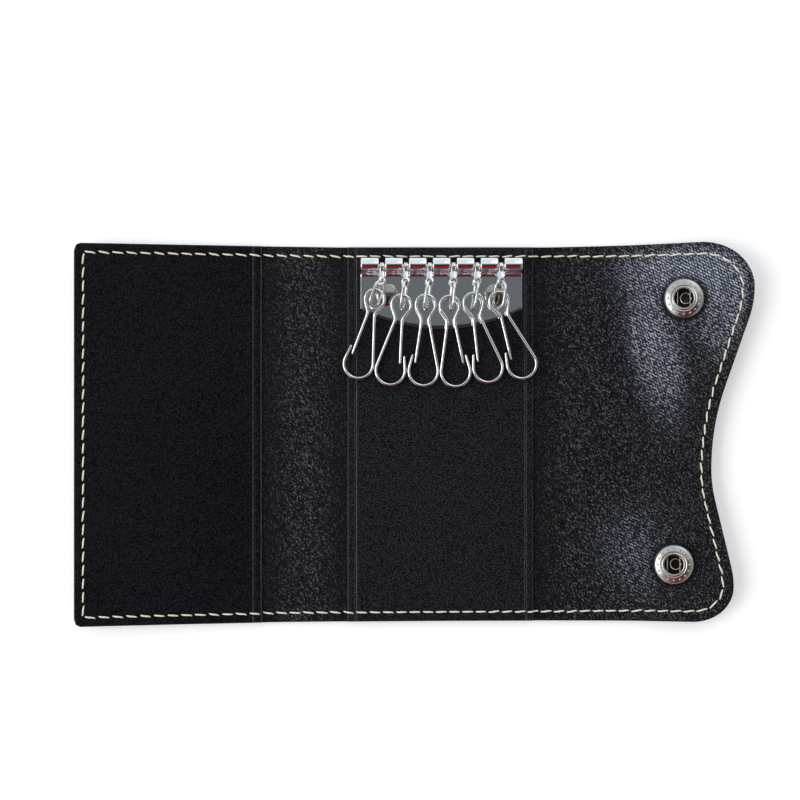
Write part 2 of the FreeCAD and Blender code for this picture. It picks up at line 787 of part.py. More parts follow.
def swing_strap(number, chain):
    """A strip looped round the rod, with a level eye at its end for the ring."""
    label = f"swing_strap_{number}"
    across = Rotation(Vector(0, 0, 1), Vector(1, 0, 0))
    half_width = Vector(size["strap_width"].value / 2, 0, 0)
    bore = size["rod_radius"] + clearance
    loop_radius = bore + size["strap_thickness"]
    loop = cylinder(f"{label}_loop", loop_radius, size["strap_width"],
                    Placement(chain["rod"] - half_width, across))
    hole = cylinder(f"{label}_bore", bore, size["strap_width"] + size["overrun"] * 2,
                    Placement(chain["rod"] - half_width - Vector(size["overrun"].value, 0, 0), across))
    tongue_length = size["strap_reach"].slant(ring_rise - rod_level) - size["strap_eye_radius"]
    tongue = doc.addObject("Part::Box", f"{label}_tongue")
    bind(tongue, Length=size["strap_width"], Width=tongue_length, Height=size["strap_eye_thickness"])
    turn = Rotation(Vector(0, -1, 0), chain["eye"] - chain["rod"])
    corner = Vector(-size["strap_width"].value / 2, -tongue_length.value,
                    -size["strap_eye_thickness"].value / 2)
    tongue.Placement = Placement(chain["rod"], turn).multiply(Placement(corner, Rotation()))
    half_eye = chain["upright"] * (size["strap_eye_thickness"].value / 2)
    upright = Rotation(Vector(0, 0, 1), chain["upright"])
    eye = cylinder(f"{label}_eye", size["strap_eye_radius"], size["strap_eye_thickness"],
                   Placement(chain["eye"] - half_eye, upright))
    long_hole = chain["upright"] * size["overrun"].value
    eye_bore = cylinder(f"{label}_eye_bore", eye_hole, size["overrun"] * 2,
                        Placement(chain["eye"] - long_hole, upright))
    solid = fused(f"{label}_solid", [loop, tongue, eye])
    holes = fused(f"{label}_holes", [hole, eye_bore])
    strap = cut(label, solid, holes)
    strap.Label = label


def link_ring(number, chain):
    """An oval ring of round wire: two half rings joined by straight runs. Its local Y axis points
    back along the chain from the far end to the strap's eye."""
    label = f"link_ring_{number}"
    place = Placement(chain["eye"], Rotation(chain["upright"], chain["along"] * -1, chain["normal"], "ZXY"))
    items = []
    far = -(ring_half.value + ring_straight.value)
    for end, turn, y in (("near", 0, -ring_half.value), ("far", 180, far)):
        half = doc.addObject("Part::Torus", f"{label}_{end}")
        bind(half, Radius1=ring_half, Radius2=wire)
        half.Angle3 = 180
        half.Placement = place.multiply(Placement(Vector(0, y, 0), Rotation(Vector(0, 0, 1), turn)))
        items.append(half)
    for run, x in (("upper", ring_half.value), ("lower", -ring_half.value)):
        start = Placement(Vector(x, far, 0), Rotation(Vector(0, 0, 1), Vector(0, 1, 0)))
        items.append(cylinder(f"{label}_{run}", wire, ring_straight, place.multiply(start)))
    ring = fused(label, items)
    ring.Label = label


def hook_path(gate_side):
    """The bent wire's middle line: gate tip, neck, round eye, neck, long leg, bottom bend and
    the short return that guards the gate. The eye's top is at the origin."""
    eye_radius = size["hook_eye_radius"].value
    bend_radius = size["hook_bend_radius"].value
    wire_half = size["hook_wire"].value / 2
    neck_y = -size["hook_neck_depth"].value
    neck_x = size["hook_neck_half_width"].value
    eye_centre = Vector(0, -eye_radius, 0)
    bend_y = -(size["hook_length"].value - wire_half * 2 - bend_radius)
    bend_centre = Vector(0, bend_y, 0)
    gate_neck = Vector(gate_side * neck_x, neck_y, 0)
    long_neck = Vector(-gate_side * neck_x, neck_y, 0)
    gate_tip = gate_neck + Vector(gate_side * size["hook_gate_spread"].value,
                                  -size["hook_gate_length"].value, 0)
    return_tip = bend_centre + Vector(gate_side * (bend_radius - size["hook_return_inset"].value),
                                      size["hook_return_rise"].value, 0)
    eye_gate = touch(gate_neck, eye_centre, eye_radius, gate_side)
    eye_long = touch(long_neck, eye_centre, eye_radius, -gate_side)
    bend_long = touch(long_neck, bend_centre, bend_radius, -gate_side)
    bend_gate = touch(return_tip, bend_centre, bend_radius, gate_side)
    return [
        Part.LineSegment(gate_tip, gate_neck),
        Part.LineSegment(gate_neck, eye_gate),
        arc_through(eye_gate, Vector(0, 0, 0), eye_long),
        Part.LineSegment(eye_long, long_neck),
        Part.LineSegment(long_neck, bend_long),
        arc_through(bend_long, bend_centre - Vector(0, bend_radius, 0), bend_gate),
        Part.LineSegment(bend_gate, return_tip),
    ]


def touch(point, centre, radius, side):
    """Where a straight run from a point touches a circle, on the left (-1) or right (1)."""
    line = point - centre
    spread = math.acos(radius / line.Length)
    heading = math.atan2(line.y, line.x)
    found = []
    for sign in (-1, 1):
        turn = heading + sign * spread
        found.append(centre + Vector(math.cos(turn), math.sin(turn), 0) * radius)
    return max(found, key=lambda spot: spot.x * side)


def key_hook(number, chain, lean, gate_side, slide_share, hang_share):
    """A hook of flat spring wire: its middle line, widened to the wire's thickness and then
    extended to its width on both sides."""
    label = f"key_hook_{number}"
    path = doc.addObject("Sketcher::SketchObject", f"{label}_path")
    for edge in hook_path(gate_side):
        path.addGeometry(edge, False)
    outline = doc.addObject("Part::Offset2D", f"{label}_outline")
    outline.Source = path
    outline.Mode = "Pipe"
    outline.Join = "Arc"
    outline.Fill = False
    bind(outline, Value=size["hook_wire"] / 2)
    hook = doc.addObject("Part::Extrusion", label)
    hook.Label = label
    hook.Base = outline
    hook.DirMode = "Custom"
    hook.Dir = Vector(0, 0, 1)
    hook.Solid = True
    hook.Symmetric = True
    bind(hook, LengthFwd=size["hook_wire_width"])
    pivot = chain["eye"] + chain["along"] * (ring_half.value * 2 + ring_straight.value) * hang_share
    pivot = pivot + chain["side"] * slide_share * size["hook_eye_radius"].value
    panel_top = frames["centre"].Base.z + size["panel_thickness"].value
    low = panel_top + size["hook_lying_clearance"].value + size["hook_wire_width"].value / 2
    droop = math.degrees(math.asin((pivot.z - low) / size["hook_length"].value))
    chain["hook_turn"] = Rotation(Vector(0, 0, 1), lean).multiply(Rotation(Vector(1, 0, 0), droop))
    chain["hook"] = pivot
    hook.Placement = Placement(pivot, chain["hook_turn"])


for i, chain in enumerate(chains):
    swing_strap(i + 1, chain)
    link_ring(i + 1, chain)
    key_hook(i + 1, chain, HOOK_LEANS[i], GATE_SIDES[i], HOOK_SLIDE_SHARES[i], HOOK_HANG_SHARES[i])

# Check every object, then write one file for each piece

doc.recompute()
for item in doc.Objects:
    assert "Invalid" not in item.State and "Error" not in item.State, f"{item.Label} failed: {item.State}"

inner = set()
for item in doc.Objects:
    if item.TypeId in ("Part::MultiFuse", "Part::Cut", "Part::Extrusion"):
        inner.update(other.Name for other in item.OutListRecursive)
kinds = ("PartDesign::Body", "Part::Cylinder", "Part::MultiFuse", "Part::Cut", "Part::Extrusion")
pieces = [item for item in doc.Objects if item.TypeId in kinds and item.Name not in inner]
for piece in pieces:
    shape = piece.Shape
    assert not shape.isNull() and shape.isValid(), f"{piece.Label} has no sound shape"
    assert len(shape.Solids) == 1, f"{piece.Label} has {len(shape.Solids)} solids"

os.makedirs("parts", exist_ok=True)
for piece in pieces:
    piece.Shape.exportStep(os.path.join("parts", f"{piece.Label}.step"))
print(len(pieces), "pieces")

# Joint axes, for the record
for name, x in (("left_spine_fold", left_fold_x), ("left_panel_fold", left_panel_fold_x),
                ("right_spine_fold", right_fold_x), ("flap_fold", flap_fold_x)):
    print("fold", name, round(x, 4), 0.0, round(fold_level, 4))
print("tilt", round(math.degrees(left_tilt), 4), round(math.degrees(right_tilt), 4))
for i, chain in enumerate(chains, start=1):
    swing = chain["eye"] + chain["along"] * ring_half.value
    across = chain["hook_turn"].multVec(Vector(1, 0, 0))
    print("chain", i, [round(v, 4) for v in (*chain["rod"], *swing, *chain["normal"],
                                             *chain["hook"], *across)])
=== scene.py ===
import json
import bmesh
import bpy
import numpy as np
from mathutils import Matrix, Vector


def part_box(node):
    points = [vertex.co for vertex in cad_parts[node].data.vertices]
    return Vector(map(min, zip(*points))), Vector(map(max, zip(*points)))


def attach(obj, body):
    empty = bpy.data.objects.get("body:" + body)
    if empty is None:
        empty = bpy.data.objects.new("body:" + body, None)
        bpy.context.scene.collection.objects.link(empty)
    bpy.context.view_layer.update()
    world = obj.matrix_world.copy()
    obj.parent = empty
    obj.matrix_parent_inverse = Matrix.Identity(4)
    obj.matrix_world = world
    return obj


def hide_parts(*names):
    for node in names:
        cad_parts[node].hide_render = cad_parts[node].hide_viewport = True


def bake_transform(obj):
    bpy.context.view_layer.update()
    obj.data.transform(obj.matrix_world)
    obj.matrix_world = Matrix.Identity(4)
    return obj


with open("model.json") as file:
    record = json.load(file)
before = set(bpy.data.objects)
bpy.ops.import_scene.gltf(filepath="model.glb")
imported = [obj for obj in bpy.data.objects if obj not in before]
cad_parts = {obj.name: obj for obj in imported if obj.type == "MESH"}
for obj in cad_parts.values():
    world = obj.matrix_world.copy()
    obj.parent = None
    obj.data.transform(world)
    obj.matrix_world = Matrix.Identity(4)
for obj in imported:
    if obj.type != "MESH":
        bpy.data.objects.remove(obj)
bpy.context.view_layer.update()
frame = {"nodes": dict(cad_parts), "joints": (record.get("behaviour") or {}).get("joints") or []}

# Outer hide
# One long blank of black pebbled cowhide, 1.2 mm thick, with a wavy flap at its right end. It lies
# on its grain, in four lengths here, each taking in one fold.
mm = 0.001
joint = {j["name"]: j for j in frame["joints"]}
fold_x = {name: joint[f"{name}_fold"]["pos_m"][0]
          for name in ("left_panel", "left_spine", "right_spine", "flap")}
fold_level = joint["flap_fold"]["pos_m"][2]
left_tilt = np.radians(90 - joint["left_panel_fold"]["range_deg"][1])
flap_tilt = np.radians(90 - joint["flap_fold"]["range_deg"][1])
fold_bend = 6.0 * mm
half_height = 54.2 * mm
left_flare = 1.05 * mm
left_low_flare = 1.42 * mm
flap_flare = 1.4 * mm
flap_low_flare = 0.14 * mm
left_end = fold_x["left_panel"] - 55.6 * mm
left_corner = 2.0 * mm
flap_reach = 35.25 * mm
flap_waist_reach = 22.95 * mm
flap_waist_drop = 9.9 * mm
flap_lower_reach = 29.3 * mm
flap_upper_corner = 13.0 * mm
flap_lower_corner = 10.3 * mm
corner_stretch = np.array([1.15, 1])
corner_half = 16
left_corner_half = 8
lower_curve_share, lower_lobe_share = 0.681, 0.385
upper_curve_share, upper_lobe_share = 0.854, 0.2745
wave_count = 40
flap_flare_power = 1.4
low_flare_power = 1.8
hide_thickness = 1.2 * mm
lining_thickness = 0.6 * mm
leather = hide_thickness + lining_thickness
hide_round = 0.5 * mm
cut_round = 0.06 * mm


def turn_up(run, tilt):
    """Along and up of a strip that is level, turns up over the bend and goes on straight: the
    sum of cosines and sines of an angle that grows evenly across the bend."""
    radius = fold_bend / tilt
    angle = np.clip(run / fold_bend + 0.5, 0, 1) * tilt
    past = np.maximum(run - fold_bend / 2, 0)
    level = np.minimum(run, -fold_bend / 2)
    along = level + radius * np.sin(angle) + past * np.cos(tilt)
    up = radius * (1 - np.cos(angle)) + past * np.sin(tilt)
    return along, up, angle


def lay(flat):
    """Lays points of the flat blank, given as length, width and height over the lining, into the
    opened case: both ends turn up at their folds, and height follows the turned surface."""
    x, y, h = flat[..., 0], flat[..., 1], flat[..., 2]
    right, right_up, right_angle = turn_up(x - fold_x["flap"], flap_tilt)
    left, left_up, left_angle = turn_up(fold_x["left_panel"] - x, left_tilt)
    on_flap = x > fold_x["flap"] - fold_bend / 2
    on_left = x < fold_x["left_panel"] + fold_bend / 2
    out_x = np.where(on_flap, fold_x["flap"] + right - h * np.sin(right_angle), x)
    out_x = np.where(on_left, fold_x["left_panel"] - left + h * np.sin(left_angle), out_x)
    angle = np.where(on_flap, right_angle, np.where(on_left, left_angle, 0))
    up = np.where(on_flap, right_up, np.where(on_left, left_up, 0))
    return np.stack([out_x, y, fold_level + up + h * np.cos(angle)], axis=-1)


def on_circle(turn):
    """Points on the unit circle at given angles."""
    return np.stack([np.cos(turn), np.sin(turn)], axis=-1)


def unit(ways):
    """The same directions with length one."""
    return ways / np.linalg.norm(ways, axis=-1, keepdims=True)


def leftward(ways):
    """Flat directions turned a quarter to the left."""
    return np.stack([-ways[..., 1], ways[..., 0]], axis=-1)


def raised(plan, height):
    """Flat points with a height as their third number."""
    return np.concatenate([plan, np.broadcast_to(height, plan.shape[:-1])[..., None]], axis=-1)


def arc(centre, start, end, count, through=None):
    """Points on an arc about a centre from one point to another: the short one, or the one that
    passes a given direction."""
    a, b = (np.arctan2(*(point - centre)[::-1]) for point in (start, end))
    stops = [a, b] if through is None else [a, through, b]
    turns = (np.diff(stops) + np.pi) % (2 * np.pi) - np.pi
    return centre + np.hypot(*(start - centre)) * on_circle(np.linspace(a, a + turns.sum(), count))


def wave(tip, waist, curve_share, lobe_share, count):
    """The S curve from a lobe's tip to the waist: two arcs with a common tangent, whose radii
    add up to a share of the largest that the drop and the step allow."""
    step, drop = tip - waist
    both = (drop ** 2 + step ** 2) / (2 * step) * curve_share
    lobe, hollow = both * lobe_share, both * (1 - lobe_share)
    side = np.sign(drop)
    lobe_centre = tip - np.array([lobe, 0])
    hollow_centre = waist + np.array([hollow, 0])
    line = hollow_centre - lobe_centre
    normal = on_circle(np.arctan2(line[1], line[0]) + side * np.arccos(both / np.hypot(*line)))
    lobe_end = lobe_centre + normal * lobe
    hollow_start = hollow_centre - normal * hollow
    return np.concatenate([arc(lobe_centre, tip, lobe_end, count),
                           arc(hollow_centre, hollow_start, waist, count)])


def path_run(path):
    """The distance along a flat path at each of its points."""
    return np.concatenate([[0], np.cumsum(np.hypot(*np.diff(path, axis=0).T))])


def at_run(path, at):
    """The places at given distances along a flat path."""
    run = path_run(path)
    return np.stack([np.interp(at, run, path[:, i]) for i in range(2)], axis=-1)


def spaced(path, share):
    """A path's points again, at given shares of its length."""
    return at_run(path, share * path_run(path)[-1])


def flap_edge():
    """The flap's lower corner, the edge between the places where its two corners are half turned,
    and its upper corner."""
    bottom, top = -half_height - flap_low_flare, half_height + flap_flare
    lower_tip = np.array([fold_x["flap"] + flap_lower_reach, bottom + flap_lower_corner])
    upper_tip = np.array([fold_x["flap"] + flap_reach, top - flap_upper_corner])
    waist = np.array([fold_x["flap"] + flap_waist_reach, -flap_waist_drop])
    across, up, origin = np.array([1, 0]), np.array([0, 1]), np.zeros(2)
    low_arc = arc(origin, -up * flap_lower_corner, across * flap_lower_corner, 2 * corner_half + 1)
    high_arc = arc(origin, across * flap_upper_corner, up * flap_upper_corner, 2 * corner_half + 1)
    low = lower_tip + (low_arc - across * flap_lower_corner) * corner_stretch
    high = upper_tip + (high_arc - across * flap_upper_corner) * corner_stretch
    lower_wave = wave(lower_tip, waist, lower_curve_share, lower_lobe_share, wave_count)
    upper_wave = wave(upper_tip, waist, upper_curve_share, upper_lobe_share, wave_count)[::-1]
    edge = np.concatenate([low[corner_half:], lower_wave[1:], upper_wave[1:-1], high[:corner_half + 1]])
    return low, edge, high


def flare(x):
    """How far the upper and lower edges stand outside the middle part's, at places along the blank:
    powers of the share of the way from a fold to the blank's end."""
    left_share = np.clip((fold_x["left_spine"] - x) / (fold_x["left_spine"] - left_end), 0, 1)
    low_share = np.clip((fold_x["right_spine"] - x) / (fold_x["right_spine"] - left_end), 0, 1)
    corner_start = fold_x["flap"] + flap_reach - flap_upper_corner * corner_stretch[0]
    right_share = np.clip((x - fold_x["right_spine"]) / (corner_start - fold_x["right_spine"]), 0, 1)
    upper = left_flare * left_share + flap_flare * right_share ** flap_flare_power
    lower = left_low_flare * low_share ** low_flare_power + flap_low_flare * right_share
    return upper, lower


def outline(left, right, across, up):
    """The outline of one length of the blank between two places along it, anticlockwise from the
    lower left: four sides with shared ends. An end of the blank gets its corners."""
    low, edge, high = flap_edge()
    upper_flare, lower_flare = flare(across)
    bottom = np.stack([across, -half_height - lower_flare], axis=-1)
    top = np.stack([across, half_height + upper_flare], axis=-1)
    share = (across - across[0]) / (across[-1] - across[0])
    ends = []
    for x, row in ((left, 0), (right, -1)):
        height = bottom[row, 1] + (top[row, 1] - bottom[row, 1]) * up
        ends.append(np.stack([np.full(len(up), x), height], axis=-1))
    if right > fold_x["flap"] + fold_bend:
        bottom = spaced(np.concatenate([bottom[across <= low[0, 0]], low[:corner_half + 1]]), share)
        top = spaced(np.concatenate([top[across <= high[-1, 0]], high[:corner_half - 1:-1]]), share)
        ends[1] = spaced(edge, up)
    if left < left_end + mm:
        straight = across > left_end + left_corner
        half = left_corner_half
        quarter = arc(np.zeros(2), np.array([0, left_corner]), np.array([-left_corner, 0]), 2 * half + 1)
        centre = np.array([left_end + left_corner, -left_corner])
        upper = quarter + centre + np.array([0, half_height + left_flare])
        lower = (quarter + centre) * (1, -1) - np.array([0, half_height + left_low_flare])
        top = spaced(np.concatenate([upper[half::-1], top[straight]]), share)
        bottom = spaced(np.concatenate([lower[half::-1], bottom[straight]]), share)
        ends[0] = spaced(np.concatenate([lower[half:], upper[half:][::-1]]), up)
    return bottom, ends[1], top, ends[0]


def patch(bottom, right, top, left):
    """A sheet of points between four sides: the two ruled surfaces added, less the corners."""
    u = np.linspace(0, 1, len(bottom))[None, :, None]
    v = np.linspace(0, 1, len(left))[:, None, None]
    ruled = (1 - v) * bottom[None] + v * top[None] + (1 - u) * left[:, None] + u * right[:, None]
    corners = ((1 - u) * (1 - v) * bottom[0] + u * (1 - v) * bottom[-1]
               + (1 - u) * v * top[0] + u * v * top[-1])
    return ruled - corners


def grid_faces(rows, columns, start=0, closed_rows=False, closed_columns=False):
    """Corner numbers of a grid's quads, as one array."""
    r = np.arange(rows if closed_rows else rows - 1)[:, None]
    c = np.arange(columns if closed_columns else columns - 1)[None, :]
    r2, c2 = (r + 1) % rows, (c + 1) % columns
    quads = np.stack([r * columns + c, r * columns + c2, r2 * columns + c2, r2 * columns + c], axis=-1)
    return quads.reshape(-1, 4) + start


def new_piece(name, points, faces, weld=0.0):
    """A mesh object from whole arrays, welded where asked, with its faces outwards and smooth."""
    mesh = bpy.data.meshes.new(name)
    mesh.from_pydata(points.reshape(-1, 3), [], faces)
    if weld:
        work = bmesh.new()
        work.from_mesh(mesh)
        bmesh.ops.remove_doubles(work, verts=work.verts, dist=weld)
        bmesh.ops.recalc_face_normals(work, faces=work.faces)
        work.to_mesh(mesh)
        work.free()
    mesh.shade_smooth()
    mesh.set_sharp_from_angle(angle=np.radians(50))
    piece = bpy.data.objects.new(name, mesh)
    bpy.context.scene.collection.objects.link(piece)
    return piece


def leather_piece(name, sides, real, top, bottom, top_round, bottom_round, press=None):
    """A layer of leather: two patches at its faces' heights, and between their borders a rim of two
    quarter rounds that stands on the outline. Cut sides stay square. Press lowers the top face."""
    least_length = 1e-9
    round_count = 5
    low, right, high, left = sides
    loop = np.concatenate([low[:-1], right[:-1], high[:0:-1], left[:0:-1]])
    flags = np.repeat(real, [len(side) - 1 for side in sides])[:, None]
    ahead = unit(np.roll(loop, -1, axis=0) - loop) * flags
    tangent = ahead + np.roll(ahead, 1, axis=0)
    inward = leftward(tangent) / np.maximum(np.hypot(*tangent.T), least_length)[:, None]
    turn = np.radians(np.linspace(90, 0, round_count))
    inset = np.concatenate([top_round * (1 - np.cos(turn)), bottom_round * (1 - np.cos(turn[::-1]))])
    height = np.concatenate([top - top_round * (1 - np.sin(turn)),
                             bottom + bottom_round * (1 - np.sin(turn[::-1]))])
    rim = raised(loop[None] + inward[None] * inset[:, None, None], height[:, None])
    lower_right, upper_right, upper_left = np.cumsum([len(side) - 1 for side in sides[:3]])

    def cap(ring, level):
        """The sheet inside one border of the rim, at a height."""
        ring = np.concatenate([ring, ring[:1]])[:, :2]
        return raised(patch(ring[:lower_right + 1], ring[lower_right:upper_right + 1],
                            ring[upper_right:upper_left + 1][::-1], ring[upper_left:][::-1]), level)

    upper, lower = cap(rim[0], top), cap(rim[-1], bottom)
    if press is not None:
        upper[..., 2] -= press(upper[..., 0])
        rim[0, :, 2] -= press(rim[0, :, 0])
    groups = [upper, lower, rim]
    faces, start = [], 0
    for grid in groups:
        closed = grid is rim
        faces.append(grid_faces(*grid.shape[:2], start, closed_columns=closed))
        start += grid.shape[0] * grid.shape[1]
    points = lay(np.concatenate([grid.reshape(-1, 3) for grid in groups]))
    return new_piece(name, points, np.concatenate(faces).tolist(), weld=1e-6)


def fill(tree, node, inputs):
    """Links each input of a node to the socket given for it, or sets it to the value given."""
    for key, value in inputs.items():
        if isinstance(value, bpy.types.NodeSocket):
            tree.links.new(value, node.inputs[key])
        else:
            node.inputs[key].default_value = value


def add_node(tree, kind, inputs=(), **settings):
    """A shader node with its settings and inputs. Gives its outputs."""
    node = tree.nodes.new(f"ShaderNode{kind}")
    for key, value in settings.items():
        setattr(node, key, value)
    fill(tree, node, dict(inputs))
    return node.outputs


def combined(tree, operation, *values):
    """The result of an arithmetic step on sockets or numbers."""
    return add_node(tree, "Math", dict(enumerate(values)), operation=operation)["Value"]


def ranged(tree, value, start, end, to_start=0.0, to_end=1.0, **settings):
    """A socket's value moved from one range to another and held at its ends."""
    inputs = {"Value": value, "From Min": start, "From Max": end, "To Min": to_start, "To Max": to_end}
    return add_node(tree, "MapRange", inputs, **settings)["Result"]


def blended(tree, share, a, b):
    """A colour between two colours, by a share."""
    return add_node(tree, "Mix", {"Factor": share, "A": a, "B": b}, data_type="RGBA")["Result"]


def noise(tree, place, size, detail):
    """Soft noise with lumps of about a size."""
    return add_node(tree, "TexNoise", {"Vector": place, "Scale": 1 / size, "Detail": detail})


def mapped(tree, place, turn, scale, **settings):
    """A place turned about the upright axis and stretched."""
    inputs = {"Vector": place, "Rotation": (0, 0, turn), "Scale": scale}
    return add_node(tree, "Mapping", inputs, **settings)["Vector"]


def bent(tree, place, size, reach):
    """A place moved about by a slow noise."""
    inputs = {0: noise(tree, place, size, 2)["Color"], 1: reach, 2: place}
    return add_node(tree, "VectorMath", inputs, operation="MULTIPLY_ADD")["Vector"]


def bumped(tree, height, depth):
    """The normal of a surface with a height up to about a depth."""
    return add_node(tree, "Bump", {"Distance": depth, "Height": height})["Normal"]


def new_finish(name, inputs):
    """A material with some of its shader's inputs set, with its node tree and its shader."""
    material = bpy.data.materials.new(name)
    material.use_nodes = True
    tree = material.node_tree
    shader = tree.nodes["Principled BSDF"]
    fill(tree, shader, inputs)
    return material, tree, shader


most_noise = (0.3, 0.7)


def leather_finish(name, base, tip, cell, stretch, turn, depth, roughness, specular):
    """Dyed leather: rows of small stretched pebbles as cells turned by an angle, a fine pore noise
    over them, a little more colour on the pebbles' tops and a slow drift of the polish."""
    polish_patch = 38 * mm
    polish_swing = 0.07
    tip_start, tip_full = -0.12, 0.5
    cell_softness = 0.35
    warp_share = 0.5
    pores_per_cell = 2.2
    material, tree, shader = new_finish(name, {"Specular IOR Level": specular})
    place = add_node(tree, "TexCoord")["Object"]
    row = mapped(tree, place, np.radians(turn), (1 / stretch, 1, 1))
    moved = bent(tree, row, 2 * cell, (cell * warp_share,) * 3)
    pebble = add_node(tree, "TexVoronoi", {"Vector": moved, "Scale": 1 / cell, "Smoothness": cell_softness},
                      feature="SMOOTH_F1")["Distance"]
    pore = noise(tree, place, cell / pores_per_cell, 3)["Fac"]
    height = combined(tree, "MULTIPLY_ADD", pebble, -1.0, pore)
    drift = noise(tree, place, polish_patch, 1.5)["Fac"]
    fill(tree, shader, {
        "Normal": bumped(tree, height, depth),
        "Base Color": blended(tree, ranged(tree, height, tip_start, tip_full), (*base, 1), (*tip, 1)),
        "Roughness": ranged(tree, drift, *most_noise, roughness - polish_swing, roughness + polish_swing),
    })
    return material


pebbled_hide = leather_finish("pebbled_hide", (0.004, 0.004, 0.005), (0.0148, 0.0148, 0.0172),
                              cell=1.2 * mm, stretch=1.2, turn=20, depth=0.22 * mm, roughness=0.42,
                              specular=0.35)
middle = {"left_spine": (fold_x["left_panel"] + fold_x["left_spine"]) / 2,
          "centre": (fold_x["left_spine"] + fold_x["right_spine"]) / 2,
          "right_spine": (fold_x["right_spine"] + fold_x["flap"]) / 2}
lengths = (
    ("left", left_end, middle["left_spine"], "left_panel", "left_spine", "left_panel"),
    ("mid_left", middle["left_spine"], middle["centre"], "left_spine", "centre", "left_spine"),
    ("mid_right", middle["centre"], middle["right_spine"], "centre", "right_spine", "right_spine"),
    ("flap", middle["right_spine"], fold_x["flap"] + flap_reach, "right_spine", "flap", "flap"),
)


def bend_with_fold(piece):
    """Bakes the piece's placement into its mesh."""
    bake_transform(piece)


def real_sides(name):
    """Which of the four sides are the blank's own edges: lower, right, upper, left."""
    return [True, name == "flap", True, name == "left"]


across_count = 72
up_share = np.linspace(0, 1, 80)
hide_nodes = {
    "left": ("outer_leather_left_panel",),
    "mid_left": ("outer_leather_left_spine", "outer_leather_centre"),
    "mid_right": ("outer_leather_right_spine",),
    "flap": ("outer_leather_flap",),
}
for name, x0, x1, body_a, body_b, fold in lengths:
    sides = outline(x0, x1, np.linspace(x0, x1, across_count), up_share)
    hide = leather_piece(f"outer_hide_{name}", sides, real_sides(name), -lining_thickness, -leather,
                         cut_round, hide_round)
    hide.data.materials.append(pebbled_hide)
    bend_with_fold(hide)
    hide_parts(*hide_nodes[name])

# Lining
# Thin black leather printed with slanting rows of fine grain, glued over the whole inside of the
# hide and trimmed flush with it. It shows on both spines and on the flap.
row_pitch = 0.80 * mm
cross_pitch = 0.74 * mm
dash_length = 1.0 * mm
dash_width = 0.36 * mm
row_turn = np.radians(28)
cross_turn = np.radians(43)
cross_weight = 0.7
row_bend = 0.6 * mm
row_bend_size = 1.6 * mm
fleck_turn = np.radians(-57)
fleck_rarity = 0.8
fleck_length = 0.66 * mm
fleck_width = 0.28 * mm
fleck_weight = 19.0
dash_weight = 4.4
least_weave_share = 0.25
full_weave_sheen = 0.3
lining_round = 0.3 * mm
# The painted sheen fades within a few millimetres of the case's edges: painted shade.
edge_shade_share = 0.3
edge_shade_run = (0.8 * mm, 3.2 * mm)
# Grain tips darker near the folds beside the smooth panels: painted shadow of the panels' edges.
fold_shade_share = 0.3
fold_shade_run = (1.0 * mm, 9.0 * mm)
tone_reach = 2.1
socket_places = {"upper": (15.1 * mm, 39.2 * mm), "lower": (12.2 * mm, -37.6 * mm)}
socket_radius = 5.8 * mm
# How fast the painted shade round each socket's rim gives way: for the sheen, and for the grain tips.
socket_sheen_shade_slope = 2
socket_tip_shade_slope = 5
# Soft oval spots on the flap where the lining gets painted sheen in its colours and a lower roughness.
painted_sheen_spots = (
    ((83, 47), (34, 22), -5, 1.0),
    ((70, 28), (12, 36), 10, 0.62),
    ((90, 37), (16, 26), 0, 0.5),
    ((64, -35), (19, 24), 15, 0.24),
)


def painted_sheen_share(tree, place):
    """How much painted sheen the lining gets at a place: the largest of a few soft oval spots, less
    within a few millimetres of the case's edge and of the snap sockets' rims, as painted shade."""
    sheen_peak = 0.0
    for (x, y), (wide, tall), turn, strength in painted_sheen_spots:
        inputs = {"Vector": place, "Location": (x * mm, y * mm, 0), "Rotation": (0, 0, np.radians(turn)),
                  "Scale": (wide * mm, tall * mm, 1)}
        spot = add_node(tree, "Mapping", inputs, vector_type="TEXTURE")["Vector"]
        off = add_node(tree, "VectorMath", {0: spot}, operation="LENGTH")["Value"]
        fall = ranged(tree, off, 1.0, 0.0, 0.0, strength, interpolation_type="SMOOTHSTEP")
        sheen_peak = combined(tree, "MAXIMUM", fall, sheen_peak)
    # Less sheen near the edges and the socket rims: painted shade.
    border = add_node(tree, "Attribute", attribute_name="inset")["Fac"]
    return combined(tree, "MULTIPLY", sheen_peak, ranged(tree, border, *edge_shade_run, edge_shade_share))


def grain_height(tree, place, sheen):
    """Height of the grain: a sine across slanting rows and a weaker one that crosses them, both bent
    by a slow noise, plus a noise stretched along the rows. Outside the spots of painted sheen, the rows
    give way to steeper, rarer flecks."""
    moved = bent(tree, place, row_bend_size, (row_bend, row_bend, 0))
    rows = mapped(tree, moved, row_turn, (1, 1, 1))
    phase = add_node(tree, "SeparateXYZ", {"Vector": rows})["Y"]
    across = combined(tree, "SINE", combined(tree, "MULTIPLY", phase, 2 * np.pi / row_pitch))
    way = np.append(on_circle(cross_turn), 0) * 2 * np.pi / cross_pitch
    slope = add_node(tree, "VectorMath", {0: rows, 1: way}, operation="DOT_PRODUCT")["Value"]
    woven = combined(tree, "MULTIPLY_ADD", combined(tree, "SINE", slope), cross_weight, across)
    stretched = mapped(tree, rows, 0, (1 / dash_length, 1 / dash_width, 1 / dash_width))
    steep = mapped(tree, place, fleck_turn, (fleck_length, fleck_width, fleck_width), vector_type="TEXTURE")
    weave_share = ranged(tree, sheen, 0.0, full_weave_sheen, least_weave_share)
    lifted = combined(tree, "ADD", woven, fleck_rarity)
    weave = combined(tree, "MULTIPLY_ADD", lifted, weave_share, -fleck_rarity)
    grain = add_node(tree, "Mix", {"Factor": weave_share, "A": noise(tree, steep, 1.0, 2)["Fac"],
                                   "B": noise(tree, stretched, 1.0, 2)["Fac"]})["Result"]
    weight = ranged(tree, sheen, 0.0, 1.0, fleck_weight, dash_weight)
    return combined(tree, "MULTIPLY_ADD", combined(tree, "SUBTRACT", grain, 0.5), weight, weave)


